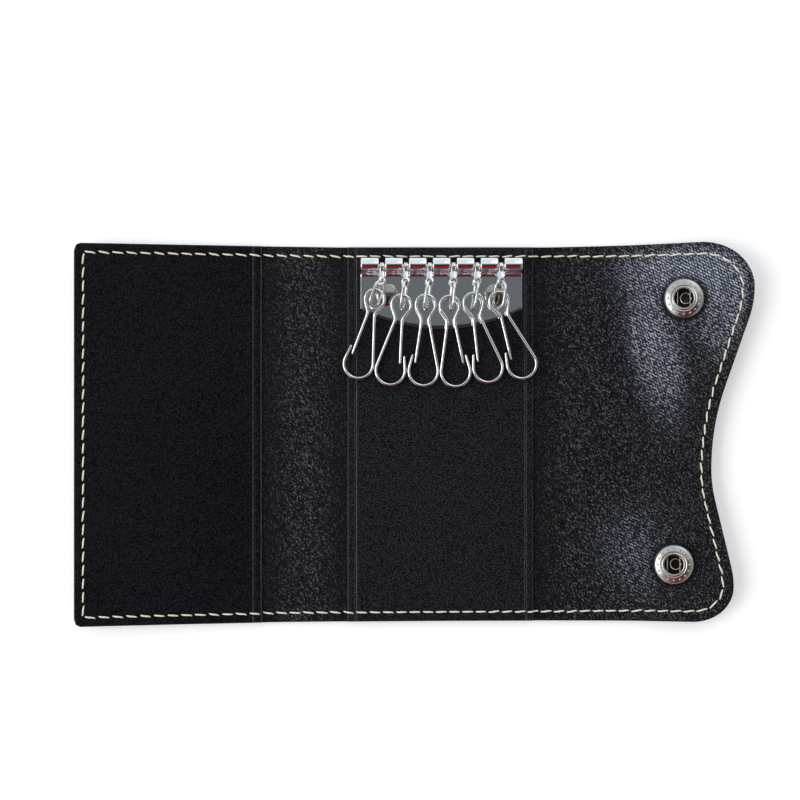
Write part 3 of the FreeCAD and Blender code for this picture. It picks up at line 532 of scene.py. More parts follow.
def printed_grain(name, base, sheen_base, tip, sheen_tip, depth, roughness, sheen_roughness, specular):
    """Black leather with a printed grain. In soft spots on the flap its tops and the ground between them
    are painted paler, as painted sheen, and are smoother; beside the smooth panels and round the snap
    sockets the tops stay darker, as painted shade."""
    material, tree, shader = new_finish(name, {"Specular IOR Level": specular})
    place = add_node(tree, "TexCoord")["Object"]
    sheen = painted_sheen_share(tree, place)
    height = grain_height(tree, place, sheen)
    # Grain tips darker near the folds and the socket rims: painted shade.
    beside = add_node(tree, "Attribute", attribute_name="beside")["Fac"]
    unshaded_share = ranged(tree, beside, *fold_shade_run, fold_shade_share)
    tone = ranged(tree, height, 0.0, tone_reach, 0.0, unshaded_share)
    # Paler ground and grain tips in the sheen spots: painted sheen.
    ground = blended(tree, sheen, (*base, 1), (*sheen_base, 1))
    bright = blended(tree, sheen, (*tip, 1), (*sheen_tip, 1))
    fill(tree, shader, {
        "Normal": bumped(tree, height, depth),
        "Base Color": blended(tree, tone, ground, bright),
        "Roughness": ranged(tree, sheen, 0.0, 1.0, roughness, sheen_roughness),
    })
    return material


def mark_shade_distances(piece, sides, real):
    """Keeps each point's distance from the blank's own edges and from the folds beside the smooth
    panels, for the finish to read: the first fades the painted sheen and the second darkens the grain
    tips, both as painted shade. Both shrink to nothing at the rims of the snap sockets, which paints
    shade round them."""
    edge = lay(np.concatenate([raised(side, 0) for side, own in zip(sides, real) if own]))
    at = np.empty(len(piece.data.vertices) * 3)
    piece.data.vertices.foreach_get("co", at)
    plan = at.reshape(-1, 1, 3)[..., :2]
    gap = np.linalg.norm(plan - edge[None, :, :2], axis=-1).min(axis=1)
    folds = np.array([fold_x["left_panel"], fold_x["left_spine"], fold_x["right_spine"]])
    beside = np.abs(plan[..., 0] - folds).min(axis=1)
    sockets = np.array(list(socket_places.values())) + np.array([fold_x["flap"], 0])
    from_rim = np.maximum(np.linalg.norm(plan - sockets, axis=-1).min(axis=1) - socket_radius, 0)
    marks = {"inset": np.minimum(gap, from_rim * socket_sheen_shade_slope),
             "beside": np.minimum(beside, from_rim * socket_tip_shade_slope)}
    for mark, values in marks.items():
        piece.data.attributes.new(mark, "FLOAT", "POINT").data.foreach_set("value", values)


grained_lining = printed_grain(
    "grained_lining",
    base=(0.0016, 0.0016, 0.0024),
    # The ground and tip colours in the sheen spots are painted sheen.
    sheen_base=(0.036, 0.041, 0.056),
    tip=(0.114, 0.118, 0.133),
    sheen_tip=(0.62, 0.68, 0.81),
    depth=0.03 * mm,
    roughness=0.5,
    sheen_roughness=0.36,
    specular=0.1,
)
lining_nodes = {name: tuple(node.replace("outer_leather", "lining") for node in nodes)
                for name, nodes in hide_nodes.items()}
for name, x0, x1, body_a, body_b, fold in lengths:
    sides = outline(x0, x1, np.linspace(x0, x1, across_count), up_share)
    lining = leather_piece(f"lining_{name}", sides, real_sides(name), 0.0, -lining_thickness,
                           lining_round, cut_round)
    lining.data.materials.append(grained_lining)
    mark_shade_distances(lining, sides, real_sides(name))
    bend_with_fold(lining)
    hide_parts(*lining_nodes[name])

# Smooth panels
# Two pieces of smooth black leather, 0.8 mm thick, sewn over the lining at the case's edges. The
# left one is a pocket. A line is pressed beside each of their open edges.
panel_thickness = 0.8 * mm
panel_margin = 1.5 * mm
press_depth = 0.12 * mm
press_half_width = 0.36 * mm
press_inset = 2.3 * mm
left_press_inset = 2.4 * mm
panel_round = 0.4 * mm
panel_under_round = 0.05 * mm
flat_limit = 0.975
smooth_grain = {"stretch": 1.3, "turn": -35, "depth": 0.02 * mm, "roughness": 0.45}
# Both panels are the same smooth leather; the key panel's paler colours against the pocket's darker ones are
# painted light and shade.
pocket_leather = leather_finish("pocket_leather", (0.0008, 0.0008, 0.0016), (0.0215, 0.0210, 0.0270),
                                cell=0.36 * mm, specular=0.06, **smooth_grain)
key_leather = leather_finish("key_leather", (0.0015, 0.0014, 0.0024), (0.0450, 0.0432, 0.0535),
                             cell=0.36 * mm, specular=0.06, **smooth_grain)
# Paler leather for the panels' steep faces, their rims and the slopes of their pressed lines: painted
# highlight.
edge_dye = leather_finish("edge_dye", (0.027, 0.029, 0.036), (0.078, 0.083, 0.098),
                          cell=0.45 * mm, specular=0.1, **smooth_grain)


def pressed(lines):
    """A groove with round shoulders along each line: depth falls off as a bell."""
    def depth(x):
        """The depth of all the grooves at a place across them."""
        return sum(press_depth * np.exp(-((x - line) / press_half_width) ** 2) for line in lines)
    return depth


def crowded(x0, x1, lines):
    """Places along a panel, closer together at its pressed lines."""
    near = np.linspace(-0.9, 0.9, 13) * mm
    return np.unique(np.concatenate([np.linspace(x0, x1, 40), *(line + near for line in lines)]))


centre_left = fold_x["left_spine"] + panel_margin
centre_right = fold_x["right_spine"] - panel_margin
pocket_edge = fold_x["left_panel"] - panel_margin
panels = (
    ("pocket_panel", left_end, pocket_edge, (pocket_edge - press_inset,), "left_panel", "left_pocket_panel",
     pocket_leather),
    ("key_panel", centre_left, centre_right, (centre_left + left_press_inset, centre_right - press_inset),
     "centre", "centre_panel", key_leather),
)
for name, x0, x1, lines, body, node, finish in panels:
    sides = outline(x0, x1, crowded(x0, x1, lines), np.linspace(0, 1, 60))
    panel = leather_piece(name, sides, [True] * 4, panel_thickness, 0.0, panel_round,
                          panel_under_round, pressed(lines))
    panel.data.materials.append(finish)
    panel.data.materials.append(edge_dye)
    # Faces steeper than the flat limit take the painted edge highlight.
    facing = np.empty(len(panel.data.polygons) * 3)
    panel.data.polygons.foreach_get("normal", facing)
    steep = np.abs(facing.reshape(-1, 3)[:, 2]) < flat_limit
    panel.data.polygons.foreach_set("material_index", steep.astype(int))
    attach(panel, body)
    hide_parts(node)

# Sewing
# Cream waxed thread all round the case, 3.7 to 4 mm to a stitch and 2.7 mm or more inside the edge.
# It holds the panels and lining to the hide, and each stitch lies a little askew between its holes.
stitch_inset = 2.7 * mm
flap_inset_more = 0.75 * mm
flap_inset_run = 45 * mm
inset_heights = np.array([-45, -10, 0, 45]) * mm
inset_shares = [0.6, 0.2, 0, 1]
left_pitch = 3.98 * mm
flap_pitch = 3.70 * mm
stitch_length = 3.25 * mm
thread_radius = 0.25 * mm
back_stand = 0.06 * mm
stitch_curl = 0.17 * mm
slant_places = np.array([-20, 30]) * mm
slants = np.radians([-4, 9])
slant_scatter = np.radians(2.0)
length_scatter_share = 0.03
curl_scatter_share = 0.5
heading_step = 0.6 * mm
ply_turns = 2.2
stitch_rings, stitch_around = 11, 8
end_swell_share = 0.5
hump_share, sink_share = 1.15, 0.55
hump_power = 0.6
thread_flatness = 0.85


def sewing_line():
    """The line of the sewing: the case's outline moved inwards, with square left corners."""
    flap_places = np.linspace(middle["right_spine"], fold_x["flap"] + flap_reach, 200)
    bottom, right, top, _ = outline(flap_places[0], flap_places[-1], flap_places, np.linspace(0, 1, 400))
    end = np.concatenate([bottom, right[1:], top[-2::-1]])
    along_share = np.clip((end[:, 0] - fold_x["right_spine"]) / flap_inset_run, 0, 1)
    height_share = np.interp(end[:, 1], inset_heights, inset_shares)
    inset = stitch_inset + flap_inset_more * along_share * height_share
    end = end + leftward(unit(np.gradient(end, axis=0))) * inset[:, None]
    places = np.linspace(left_end + stitch_inset, middle["right_spine"], 120)[:-1]
    upper_flare, lower_flare = flare(places)
    upper = np.stack([places, half_height + upper_flare - stitch_inset], axis=-1)
    lower = np.stack([places, stitch_inset - half_height - lower_flare], axis=-1)
    return np.concatenate([lower, end, upper[::-1], lower[:1]])


line = sewing_line()
run = path_run(line)
pitch_ends = [left_end, fold_x["flap"] + flap_lower_reach]
pitch_here = np.interp(line[1:, 0], pitch_ends, [left_pitch, flap_pitch])
counted = np.concatenate([[0], np.cumsum(np.diff(run) / pitch_here)])
corner_counts = np.round([0, counted[-2], counted[-1]])
counted = np.interp(counted, [0, counted[-2], counted[-1]], corner_counts)
stitch_count = int(corner_counts[-1])
rng = np.random.default_rng(7)
middle_run = np.interp(np.arange(stitch_count) + 0.5, counted, run)


def on_line(at):
    """Places on the sewing line at distances along it, round and round."""
    return at_run(line, at % run[-1])


def full_turn(count):
    """Angles evenly round a full turn."""
    return np.linspace(0, 2 * np.pi, count, endpoint=False)


def repeated_faces(rows, columns, count):
    """The quads of equal grids that follow each other, each closed round its columns."""
    starts = np.arange(count)[:, None, None] * rows * columns
    return (grid_faces(rows, columns, closed_columns=True) + starts).reshape(-1, 4).tolist()


def thread_height(x):
    """Height of the leather under the thread: the panels stand over the lining."""
    rise_run = 0.5 * mm
    inside = np.stack([pocket_edge - x, np.minimum(x - centre_left, centre_right - x)])
    return panel_thickness * np.clip(inside / rise_run + 0.5, 0, 1).max(axis=0)


def stitches(numbers, back):
    """Thread humps: rings of round section along a straight run, rising out of one hole and going
    into the next as a sine, swung a few degrees across the line and curled at its ends as a cube.
    On the back they lie deeper."""
    rings, around, count = stitch_rings, stitch_around, len(numbers)
    t = np.linspace(-1, 1, rings)
    turn = full_turn(around)
    at = middle_run[numbers]
    middle_at = on_line(at)
    ahead = on_line(at + heading_step) - on_line(at - heading_step)
    slant = np.interp(middle_at[:, 0], slant_places, slants) + rng.normal(0, slant_scatter, count)
    forward = on_circle(np.arctan2(ahead[:, 1], ahead[:, 0]) + slant)
    sideways = leftward(forward)
    half = stitch_length / 2 * (1 + rng.normal(0, length_scatter_share, count))
    curl = stitch_curl * (1 + rng.normal(0, curl_scatter_share, count))
    hump = np.cos(t * np.pi / 2)
    swell = thread_radius * (end_swell_share + (1 - end_swell_share) * np.sqrt(hump))
    lift = thread_radius * (hump_share * hump ** hump_power - sink_share)
    centre = middle_at[:, None] + forward[:, None] * (half[:, None] * t)[..., None]
    centre = centre - sideways[:, None] * (curl[:, None] * t ** 3)[..., None]
    across = swell[:, None] * np.cos(turn)
    rise = lift[:, None] + swell[:, None] * np.sin(turn) * thread_flatness
    plan = centre[:, :, None] + sideways[:, None, None] * across[None, ..., None]
    if back:
        height = rise.max() - back_stand - leather - rise
    else:
        height = thread_height(centre[..., 0])[:, :, None] + rise[None]
    ends = np.arange(count)[:, None] * rings * around + np.arange(around)
    caps = ends[:, ::-1].tolist() + (ends + (rings - 1) * around).tolist()
    ply = np.stack(np.meshgrid(t * ply_turns, turn / (2 * np.pi), [0], indexing="ij"), axis=-1)
    faces = repeated_faces(rings, around, count) + caps
    return lay(raised(plan, height)), faces, np.tile(ply.ravel(), count)


waxed_thread, tree, shader = new_finish("waxed_thread", {"Roughness": 0.6})
ply = add_node(tree, "Attribute", attribute_name="ply")["Vector"]
twist = add_node(tree, "TexWave", {"Vector": ply, "Scale": 1.0, "Distortion": 0.6},
                 bands_direction="DIAGONAL")
thread_colour = blended(tree, twist["Color"], (0.62, 0.58, 0.45, 1), (0.90, 0.88, 0.76, 1))
fill(tree, shader, {"Base Color": thread_colour})
at_x = on_line(middle_run)[:, 0]
for name, x0, x1, body_a, body_b, fold in lengths:
    numbers = np.nonzero((at_x >= x0) & (at_x < x1))[0]
    for face, back in (("", False), ("_back", True)):
        points, faces, ply_places = stitches(numbers, back)
        if back:
            faces = [face_corners[::-1] for face_corners in faces]
        thread = new_piece(f"sewing_{name}{face}", points, faces)
        thread.data.attributes.new("ply", "FLOAT_VECTOR", "POINT").data.foreach_set("vector", ply_places)
        thread.data.materials.append(waxed_thread)
        bend_with_fold(thread)

# Snap fasteners
# Two pairs. On the flap a domed nickel cap below, a pressed nickel socket with a plain beaded rim
# above, joined by the cap's rolled brass post; on the left panel a turned stud on a flanged post.


def mirror_metal(name, colour, roughness, grain):
    """Plated metal: a mirror whose roughness drifts a little, with faint rubbing marks."""
    rub_patch = 2.2 * mm
    least_rub, most_rub = 0.7, 1.4
    material, tree, shader = new_finish(name, {"Metallic": 1.0})
    cloud = noise(tree, add_node(tree, "TexCoord")["Object"], rub_patch, 3)["Fac"]
    rubbed_colour = (*(c * (1 - grain) for c in colour), 1)
    fill(tree, shader, {
        "Roughness": ranged(tree, cloud, *most_noise, roughness * least_rub, roughness * most_rub),
        "Base Color": blended(tree, cloud, rubbed_colour, (*colour, 1)),
    })
    return material


def on_part(points, name, x, y, h):
    """Moves local points to a place on the flap or the left panel, given from its fold line, and
    leans them with that part."""
    tilt = -flap_tilt if name == "flap" else left_tilt
    local = points + np.array([x, y, h])
    turned_x = local[..., 0] * np.cos(tilt) + local[..., 2] * np.sin(tilt)
    turned_z = -local[..., 0] * np.sin(tilt) + local[..., 2] * np.cos(tilt)
    return np.stack([turned_x + fold_x[name], local[..., 1], turned_z + fold_level], axis=-1)


def soft_profile(corners, radius, steps=4):
    """A line with its inner corners rounded: each becomes a curve between two points that lie a
    radius before and after it, or less where its sides are short."""
    most_cut_share = 0.45
    corners = np.array(corners, float)
    out = [corners[:1]]
    share = np.linspace(0, 1, steps)[:, None]
    for before, here, after in zip(corners[:-2], corners[1:-1], corners[2:]):
        back, on = before - here, after - here
        cut = min(radius, np.hypot(*back) * most_cut_share, np.hypot(*on) * most_cut_share)
        a, b = here + unit(back) * cut, here + unit(on) * cut
        out.append((1 - share) ** 2 * a + 2 * share * (1 - share) * here + share ** 2 * b)
    out.append(corners[-1:])
    return np.concatenate(out)


def turned_points(profile, around):
    """A profile of radius and height turned about the upright axis."""
    return raised(profile[:, None, :1] * on_circle(full_turn(around)), profile[:, 1:])


def round_piece(name, points):
    """A mesh of rings of points, closed at its poles by welding."""
    return new_piece(name, points, repeated_faces(*points.shape[:2], 1), weld=1e-7)


def turned_piece(name, profile, seat, around=64):
    """A turned piece on a leather part, from a profile of radii and heights in millimetres."""
    return round_piece(name, on_part(turned_points(np.array(profile) * mm, around), *seat))


nickel = mirror_metal("nickel", (0.50, 0.49, 0.46), roughness=0.26, grain=0.18)
# Near-black metal for the socket's well: painted shade in its hollow.
dull_nickel = mirror_metal("dull_nickel", (0.02, 0.018, 0.016), roughness=0.5, grain=0.4)
brass = mirror_metal("brass", (0.72, 0.60, 0.45), roughness=0.22, grain=0.15)
spring_steel = mirror_metal("spring_steel", (0.24, 0.24, 0.24), roughness=0.25, grain=0.1)
case_width = fold_x["right_spine"] - fold_x["left_spine"]
socket_profile = soft_profile([(5.0, 0.0), (5.75, 0.0), (5.8, 1.5), (5.25, 2.15), (3.75, 2.5), (3.5, 2.38),
                               (3.3, 2.6), (2.9, 2.6), (2.7, 2.3), (2.75, 1.95), (3.9, 1.9), (4.9, 1.5),
                               (5.0, 0.0)], 0.3)
well_profile = soft_profile([(1.45, 0.0), (4.95, 0.0), (4.95, 0.35), (1.45, 0.35), (1.45, 0.0)], 0.1)
cap_profile = soft_profile([(0.0, -1.6), (2.2, -1.5), (4.4, -1.05), (5.9, -0.45), (6.2, -0.2), (6.1, 0.0),
                            (0.0, 0.0)], 0.5)
post_profile = soft_profile([(1.35, 0.0), (1.35, 2.1), (1.75, 2.15), (1.78, 2.4), (1.56, 2.55), (1.34, 2.4),
                             (1.3, 2.1), (1.2, 0.1), (0.0, 0.1)], 0.12)
post_shift = 0.55 * mm
stud_profile = soft_profile([(0.0, 0.0), (4.4, 0.0), (4.35, -0.5), (3.9, -0.6), (1.5, -0.6), (1.45, -1.9),
                             (1.9, -2.1), (1.85, -2.4), (1.2, -2.5), (0.85, -2.5), (0.8, -2.3),
                             (0.0, -2.3)], 0.2)
flange_profile = soft_profile([(0.0, 0.48), (3.3, 0.48), (3.6, 0.3), (3.6, 0.0), (0.8, 0.0), (0.78, -3.3),
                               (0.0, -3.3)], 0.2)
bead_count = 16
bead_ring = 4.55 * mm
bead_radius = 0.34 * mm
bead_level = 2.27 * mm
bead_flatness = 0.8


def rim_beads(seat):
    """A ring of small plain beads pressed into the socket's rim: half balls on a circle."""
    rise = np.radians(np.linspace(0, 90, 4))
    dome = turned_points(on_circle(rise) * (1, bead_flatness) * bead_radius, 8)
    centres = raised(on_circle(full_turn(bead_count)) * bead_ring, bead_level)
    points = centres[:, None, None] + dome[None]
    return on_part(points, *seat), repeated_faces(*dome.shape[:2], bead_count)


def repaint(node, material):
    """Gives a solid of the frame one material."""
    frame["nodes"][node].data.materials.clear()
    frame["nodes"][node].data.materials.append(material)


for name, (x, y) in socket_places.items():
    seat = ("flap", x, y, 0.0)
    socket = turned_piece(f"snap_socket_{name}_shell", socket_profile, seat)
    well = turned_piece(f"snap_socket_{name}_well", well_profile, seat)
    beads = new_piece(f"snap_socket_{name}_beads", *rim_beads(seat), weld=1e-7)
    cap = turned_piece(f"snap_cap_{name}_dome", cap_profile, ("flap", x, y, -leather))
    post = turned_piece(f"snap_cap_{name}_post", post_profile, ("flap", x + post_shift, y, -leather), 40)
    for piece in (socket, well, beads, cap, post):
        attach(piece, "flap")
        piece.data.materials.append(nickel)
    post.data.materials[0] = brass
    well.data.materials[0] = dull_nickel
    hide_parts(f"snap_socket_{name}")
    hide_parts(f"snap_cap_{name}")
    repaint(f"snap_spring_{name}", spring_steel)
    stud = turned_piece(f"snap_stud_{name}_body", stud_profile, ("left_panel", x - case_width, y, -leather))
    flange = turned_piece(f"stud_post_{name}_flange", flange_profile,
                          ("left_panel", x - case_width, y, -lining_thickness), 48)
    for piece in (stud, flange):
        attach(piece, "left_panel")
    stud.data.materials.append(nickel)
    flange.data.materials.append(brass)
    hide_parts(f"snap_stud_{name}")
    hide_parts(f"stud_post_{name}")

# Key bar
# One strip of chromed steel, 0.8 mm thick. Its upper edge is rolled into a barrel of seven knuckles,
# its lower edge is cut to a shallow bow, and two rivets hold it to the panel and lining.
bar_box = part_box("key_bar_plate")
bar_left, bar_right = bar_box[0][0], bar_box[1][0]
bar_floor = bar_box[0][2]
barrel_radius = 2.1 * mm
bar_sheet = 0.8 * mm
barrel_y = bar_box[1][1] - barrel_radius
bar_side = 12.6 * mm
bar_sag = 5.8 * mm
slot_width = 1.75 * mm
plate_round = 0.06 * mm
plate_under_round = 0.05 * mm
barrel_seam = 0.05 * mm
lip_reach = 1.2 * mm
lip_sheet = 0.25 * mm
chrome = mirror_metal("chrome", (0.80, 0.82, 0.84), roughness=0.05, grain=0.06)
slot_x = np.array([joint[f"strap_swing_{i}"]["pos_m"][0] for i in range(1, 7)])


def rolled_section(count):
    """The barrel's section as a closed line in depth and height: from the lip that lies on the plate
    up its hollow foot and round the outside to the bottom, then back round the inside and under it."""
    foot = np.radians(np.linspace(90, 0, 9))[:-1]
    drop = barrel_radius - bar_sheet - lip_sheet
    lip = -barrel_radius - lip_reach
    hollow = np.array([lip, barrel_radius]) + on_circle(foot) * (lip_reach, -drop)
    inside = barrel_radius - bar_sheet
    low = np.arcsin((inside - barrel_seam) / inside)
    middle_at = np.array([0, barrel_radius])
    round_out = on_circle(np.linspace(np.pi, -np.pi / 2, count)) * barrel_radius + middle_at
    round_in = on_circle(np.linspace(-np.pi / 2, np.pi + low, count)) * inside + middle_at
    under = np.linspace(round_in[-1], [lip, bar_sheet + barrel_seam], len(hollow) + 1)[1:]
    return np.concatenate([hollow, round_out, round_in, under])


def carried(section, centre, places, shrink):
    """A closed section carried along X through places, drawn in towards its own middle line by a
    small amount at each end so that the edge is rounded, and closed with flat ends."""
    shape = centre + (section - centre) * (1 - shrink[:, None, None])
    along = np.broadcast_to(places[:, None, None], (*shape.shape[:2], 1))
    return np.concatenate([along, shape + np.array([barrel_y, bar_floor])], axis=-1)


section = rolled_section(28)
half_count = len(section) // 2
core = (section + section[::-1]) / 2
slot_edges = slot_x[:, None] + np.array([-1, 1]) * slot_width / 2
edges = np.concatenate([[bar_left], slot_edges.ravel(), [bar_right]])
round_run = np.array([0, 0.06, 0.16, 0.3]) * mm
round_share = np.array([0.55, 0.28, 0.08, 0.0])
knuckles = []
for left, right in edges.reshape(-1, 2):
    places = np.concatenate([left + round_run, right - round_run[::-1]])
    shrink = np.concatenate([round_share, round_share[::-1]])
    knuckles.append(carried(section, core, places, shrink))
points = np.stack(knuckles)
rings, around = points.shape[1:3]
faces = repeated_faces(rings, around, len(knuckles))
step = np.arange(half_count - 1)
for k in range(len(knuckles)):
    for row in (0, rings - 1):
        first = (k * rings + row) * around + step
        last = (k * rings + row + 1) * around - 1 - step
        faces += np.stack([first, first + 1, last - 1, last], axis=-1).tolist()
barrel = new_piece("key_bar_barrel", points, faces, weld=1e-7)


def plate_sides(count):
    """The flat plate's outline: straight under the barrel and at its sides, and a bow below."""
    half = (bar_right - bar_left) / 2
    middle_x = (bar_right + bar_left) / 2
    radius = (half ** 2 / bar_sag + bar_sag) / 2
    across = np.linspace(-half, half, count)
    low = barrel_y - bar_side - (np.sqrt(radius ** 2 - across ** 2) - (radius - bar_sag))
    bottom = np.stack([across + middle_x, low], -1)
    top = np.stack([across + middle_x, np.full(count, barrel_y)], -1)
    rise = np.linspace(0, 1, 12)[:, None]
    return bottom, bottom[-1] + rise * (top[-1] - bottom[-1]), top, bottom[0] + rise * (top[0] - bottom[0])


plate = leather_piece("key_bar_flat", plate_sides(60), [True, True, False, True],
                      bar_floor + bar_sheet - fold_level, bar_floor - fold_level, plate_round,
                      plate_under_round)
for piece in (barrel, plate):
    piece.data.materials.append(chrome)
    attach(piece, "centre")
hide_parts("key_bar_plate")
repaint("hinge_rod", chrome)

# Bar rivets
# Two tubular rivets of satin nickel with a low domed head on the bar. A flat back let into the
# hide fills their tubes from below.
satin_nickel = mirror_metal("satin_nickel", (0.34, 0.33, 0.30), roughness=0.14, grain=0.15)
rivet_radius = 3.3 * mm
rivet_height = 0.8 * mm
rivet_rim = 0.3 * mm
dome_height = rivet_height - rivet_rim
dome_radius = (rivet_radius ** 2 / dome_height + dome_height) / 2
dome_share = 0.975
rim_share = 0.8
for side in ("left", "right"):
    low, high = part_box(f"bar_rivet_{side}")
    middle_at = np.array([(low[0] + high[0]) / 2, (low[1] + high[1]) / 2, high[2] - rivet_height])
    swing = np.linspace(0, np.arcsin(rivet_radius / dome_radius) * dome_share, 14)
    dome = np.stack([np.sin(swing) * dome_radius, (np.cos(swing) - 1) * dome_radius + rivet_height], axis=-1)
    rim = [[rivet_radius, rivet_rim * rim_share], [rivet_radius, 0.0], [0.0, 0.0]]
    profile = np.concatenate([dome, rim])
    head = round_piece(f"bar_rivet_{side}_head", turned_points(profile, 64) + middle_at)
    head.data.materials.append(satin_nickel)
    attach(head, "centre")
    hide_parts(f"bar_rivet_{side}")
    repaint(f"rivet_back_{side}", spring_steel)

# Hook chains
# In each slot a pressed strap is looped round the rod, an oval wire ring goes through its eye, and a
# snap hook bent from chromed spring wire hangs on the ring.
bright_wire = mirror_metal("bright_wire", (0.70, 0.70, 0.71), roughness=0.11, grain=0.06)
gate_sides = (-1, 1, -1, 1, -1, -1)
strap_width = 1.4 * mm
strap_sheet = 0.45 * mm
strap_loop = 1.03 * mm
strap_eye_ring = 0.92 * mm
strap_eye_wire = 0.34 * mm
strap_mouth = np.radians(62)
strap_pinch = strap_sheet * 0.42
strap_swell = strap_pinch * 1.6
strap_waist_share, strap_neck_share = 0.62, 0.48
strap_soft = 0.4 * mm
strap_step = 0.14 * mm
ring_wire = 0.4 * mm
ring_half = 2.4 * mm
ring_straight = 3.1 * mm
hook_length = 27.1 * mm
hook_wire = 0.9 * mm
hook_wire_width = 1.6 * mm
hook_eye = 2.8 * mm
hook_neck_depth = 6.9 * mm
hook_neck_half = 0.95 * mm
hook_bend = 4.2 * mm
hook_gate_length = 13.0 * mm
hook_gate_spread = 1.5 * mm
hook_return_rise = 4.85 * mm
hook_return_inset = 0.95 * mm
hook_neck_soft = 0.9 * mm
hook_gap = 0.25 * mm
hook_step = 0.5 * mm
hook_tip_steps = np.array([0, 0.03, 0.1, 0.22, 0.36]) * mm
hook_slim_run = 3 * mm
hook_slim_share = 0.68
hook_tip_share = 0.15


def swept(path, across, up, section, closed):
    """A section carried along a path: each point gets the section's two shares of the path's own
    side and up directions. Gives the points and the quads, with the ends of an open path closed."""
    across, up = (np.broadcast_to(way, path.shape)[:, None] for way in (across, up))
    points = path[:, None] + across * section[None, :, :1] + up * section[None, :, 1:]
    count, around = points.shape[:2]
    faces = grid_faces(count, around, closed_rows=closed, closed_columns=True).tolist()
    if not closed:
        faces += [list(range(around)), list(range((count - 1) * around, count * around))]
    return points.reshape(-1, 3), faces


def stadium(width, height, around):
    """A flat section with round edges: a circle stretched apart by the difference of the sizes."""
    radius = min(width, height) / 2
    circle = on_circle(full_turn(around) + np.pi / around) * radius
    apart = np.array([width / 2 - radius, height / 2 - radius])
    return circle + np.sign(circle) * apart


def touching(point, centre, radius, side):
    """Where a straight line from a point touches a circle, on its left (-1) or right (1)."""
    way = point - centre
    spread = np.arccos(radius / np.hypot(*way))
    turns = np.arctan2(way[1], way[0]) + np.array([-spread, spread])
    spots = centre + on_circle(turns) * radius
    return spots[np.argmax(spots[:, 0] * side)]


def hook_line(gate_side):
    """The bent wire's middle line in the hook's own plane, from the gate's tip round the eye and the
    long leg to the bent return: straight runs and tangent arcs, softened at the necks."""
    eye_centre = np.array([0, -hook_eye])
    bend_centre = np.array([0, -(hook_length - hook_wire - hook_bend)])
    gate_neck = np.array([gate_side * hook_neck_half, -hook_neck_depth])
    long_neck = gate_neck * (-1, 1)
    gate_tip = gate_neck + np.array([gate_side * hook_gate_spread, -hook_gate_length])
    return_tip = bend_centre + np.array([gate_side * (hook_bend - hook_return_inset), hook_return_rise])
    eye_gate = touching(gate_neck, eye_centre, hook_eye, gate_side)
    eye_long = touching(long_neck, eye_centre, hook_eye, -gate_side)
    bend_long = touching(long_neck, bend_centre, hook_bend, -gate_side)
    bend_gate = touching(return_tip, bend_centre, hook_bend, gate_side)
    eye = arc(eye_centre, eye_gate, eye_long, 28, np.pi / 2)
    bow = arc(bend_centre, bend_long, bend_gate, 28, -np.pi / 2)
    neck = soft_profile([gate_tip, gate_neck, eye_gate], hook_neck_soft, 6)
    other = soft_profile([eye_long, long_neck, bend_long], hook_neck_soft, 6)
    return np.concatenate([neck[:-1], eye, other[1:-1], bow, return_tip[None]])


def fine_steps(line, step, tips=(0,)):
    """The same line with points at equal steps, so that long runs have as many as the bends, and
    closer ones at its two ends; and each point's distance from the nearer end."""
    length = path_run(line)[-1]
    even = np.linspace(0, length, int(length / step) + 1)[1:-1]
    at = np.unique(np.concatenate([tips, even, length - np.array(tips)]))
    return at_run(line, at), np.minimum(at, length - at)


def end_taper(distance):
    """Shares of the hook wire's section near its ends: a slow slimming and a round tip."""
    tip = np.clip(distance / (hook_wire / 2), 0, 1)
    slim = hook_slim_share + (1 - hook_slim_share) * np.clip(distance / hook_slim_run, 0, 1)
    return slim * np.maximum(np.sqrt(1 - (1 - tip) ** 2), hook_tip_share)


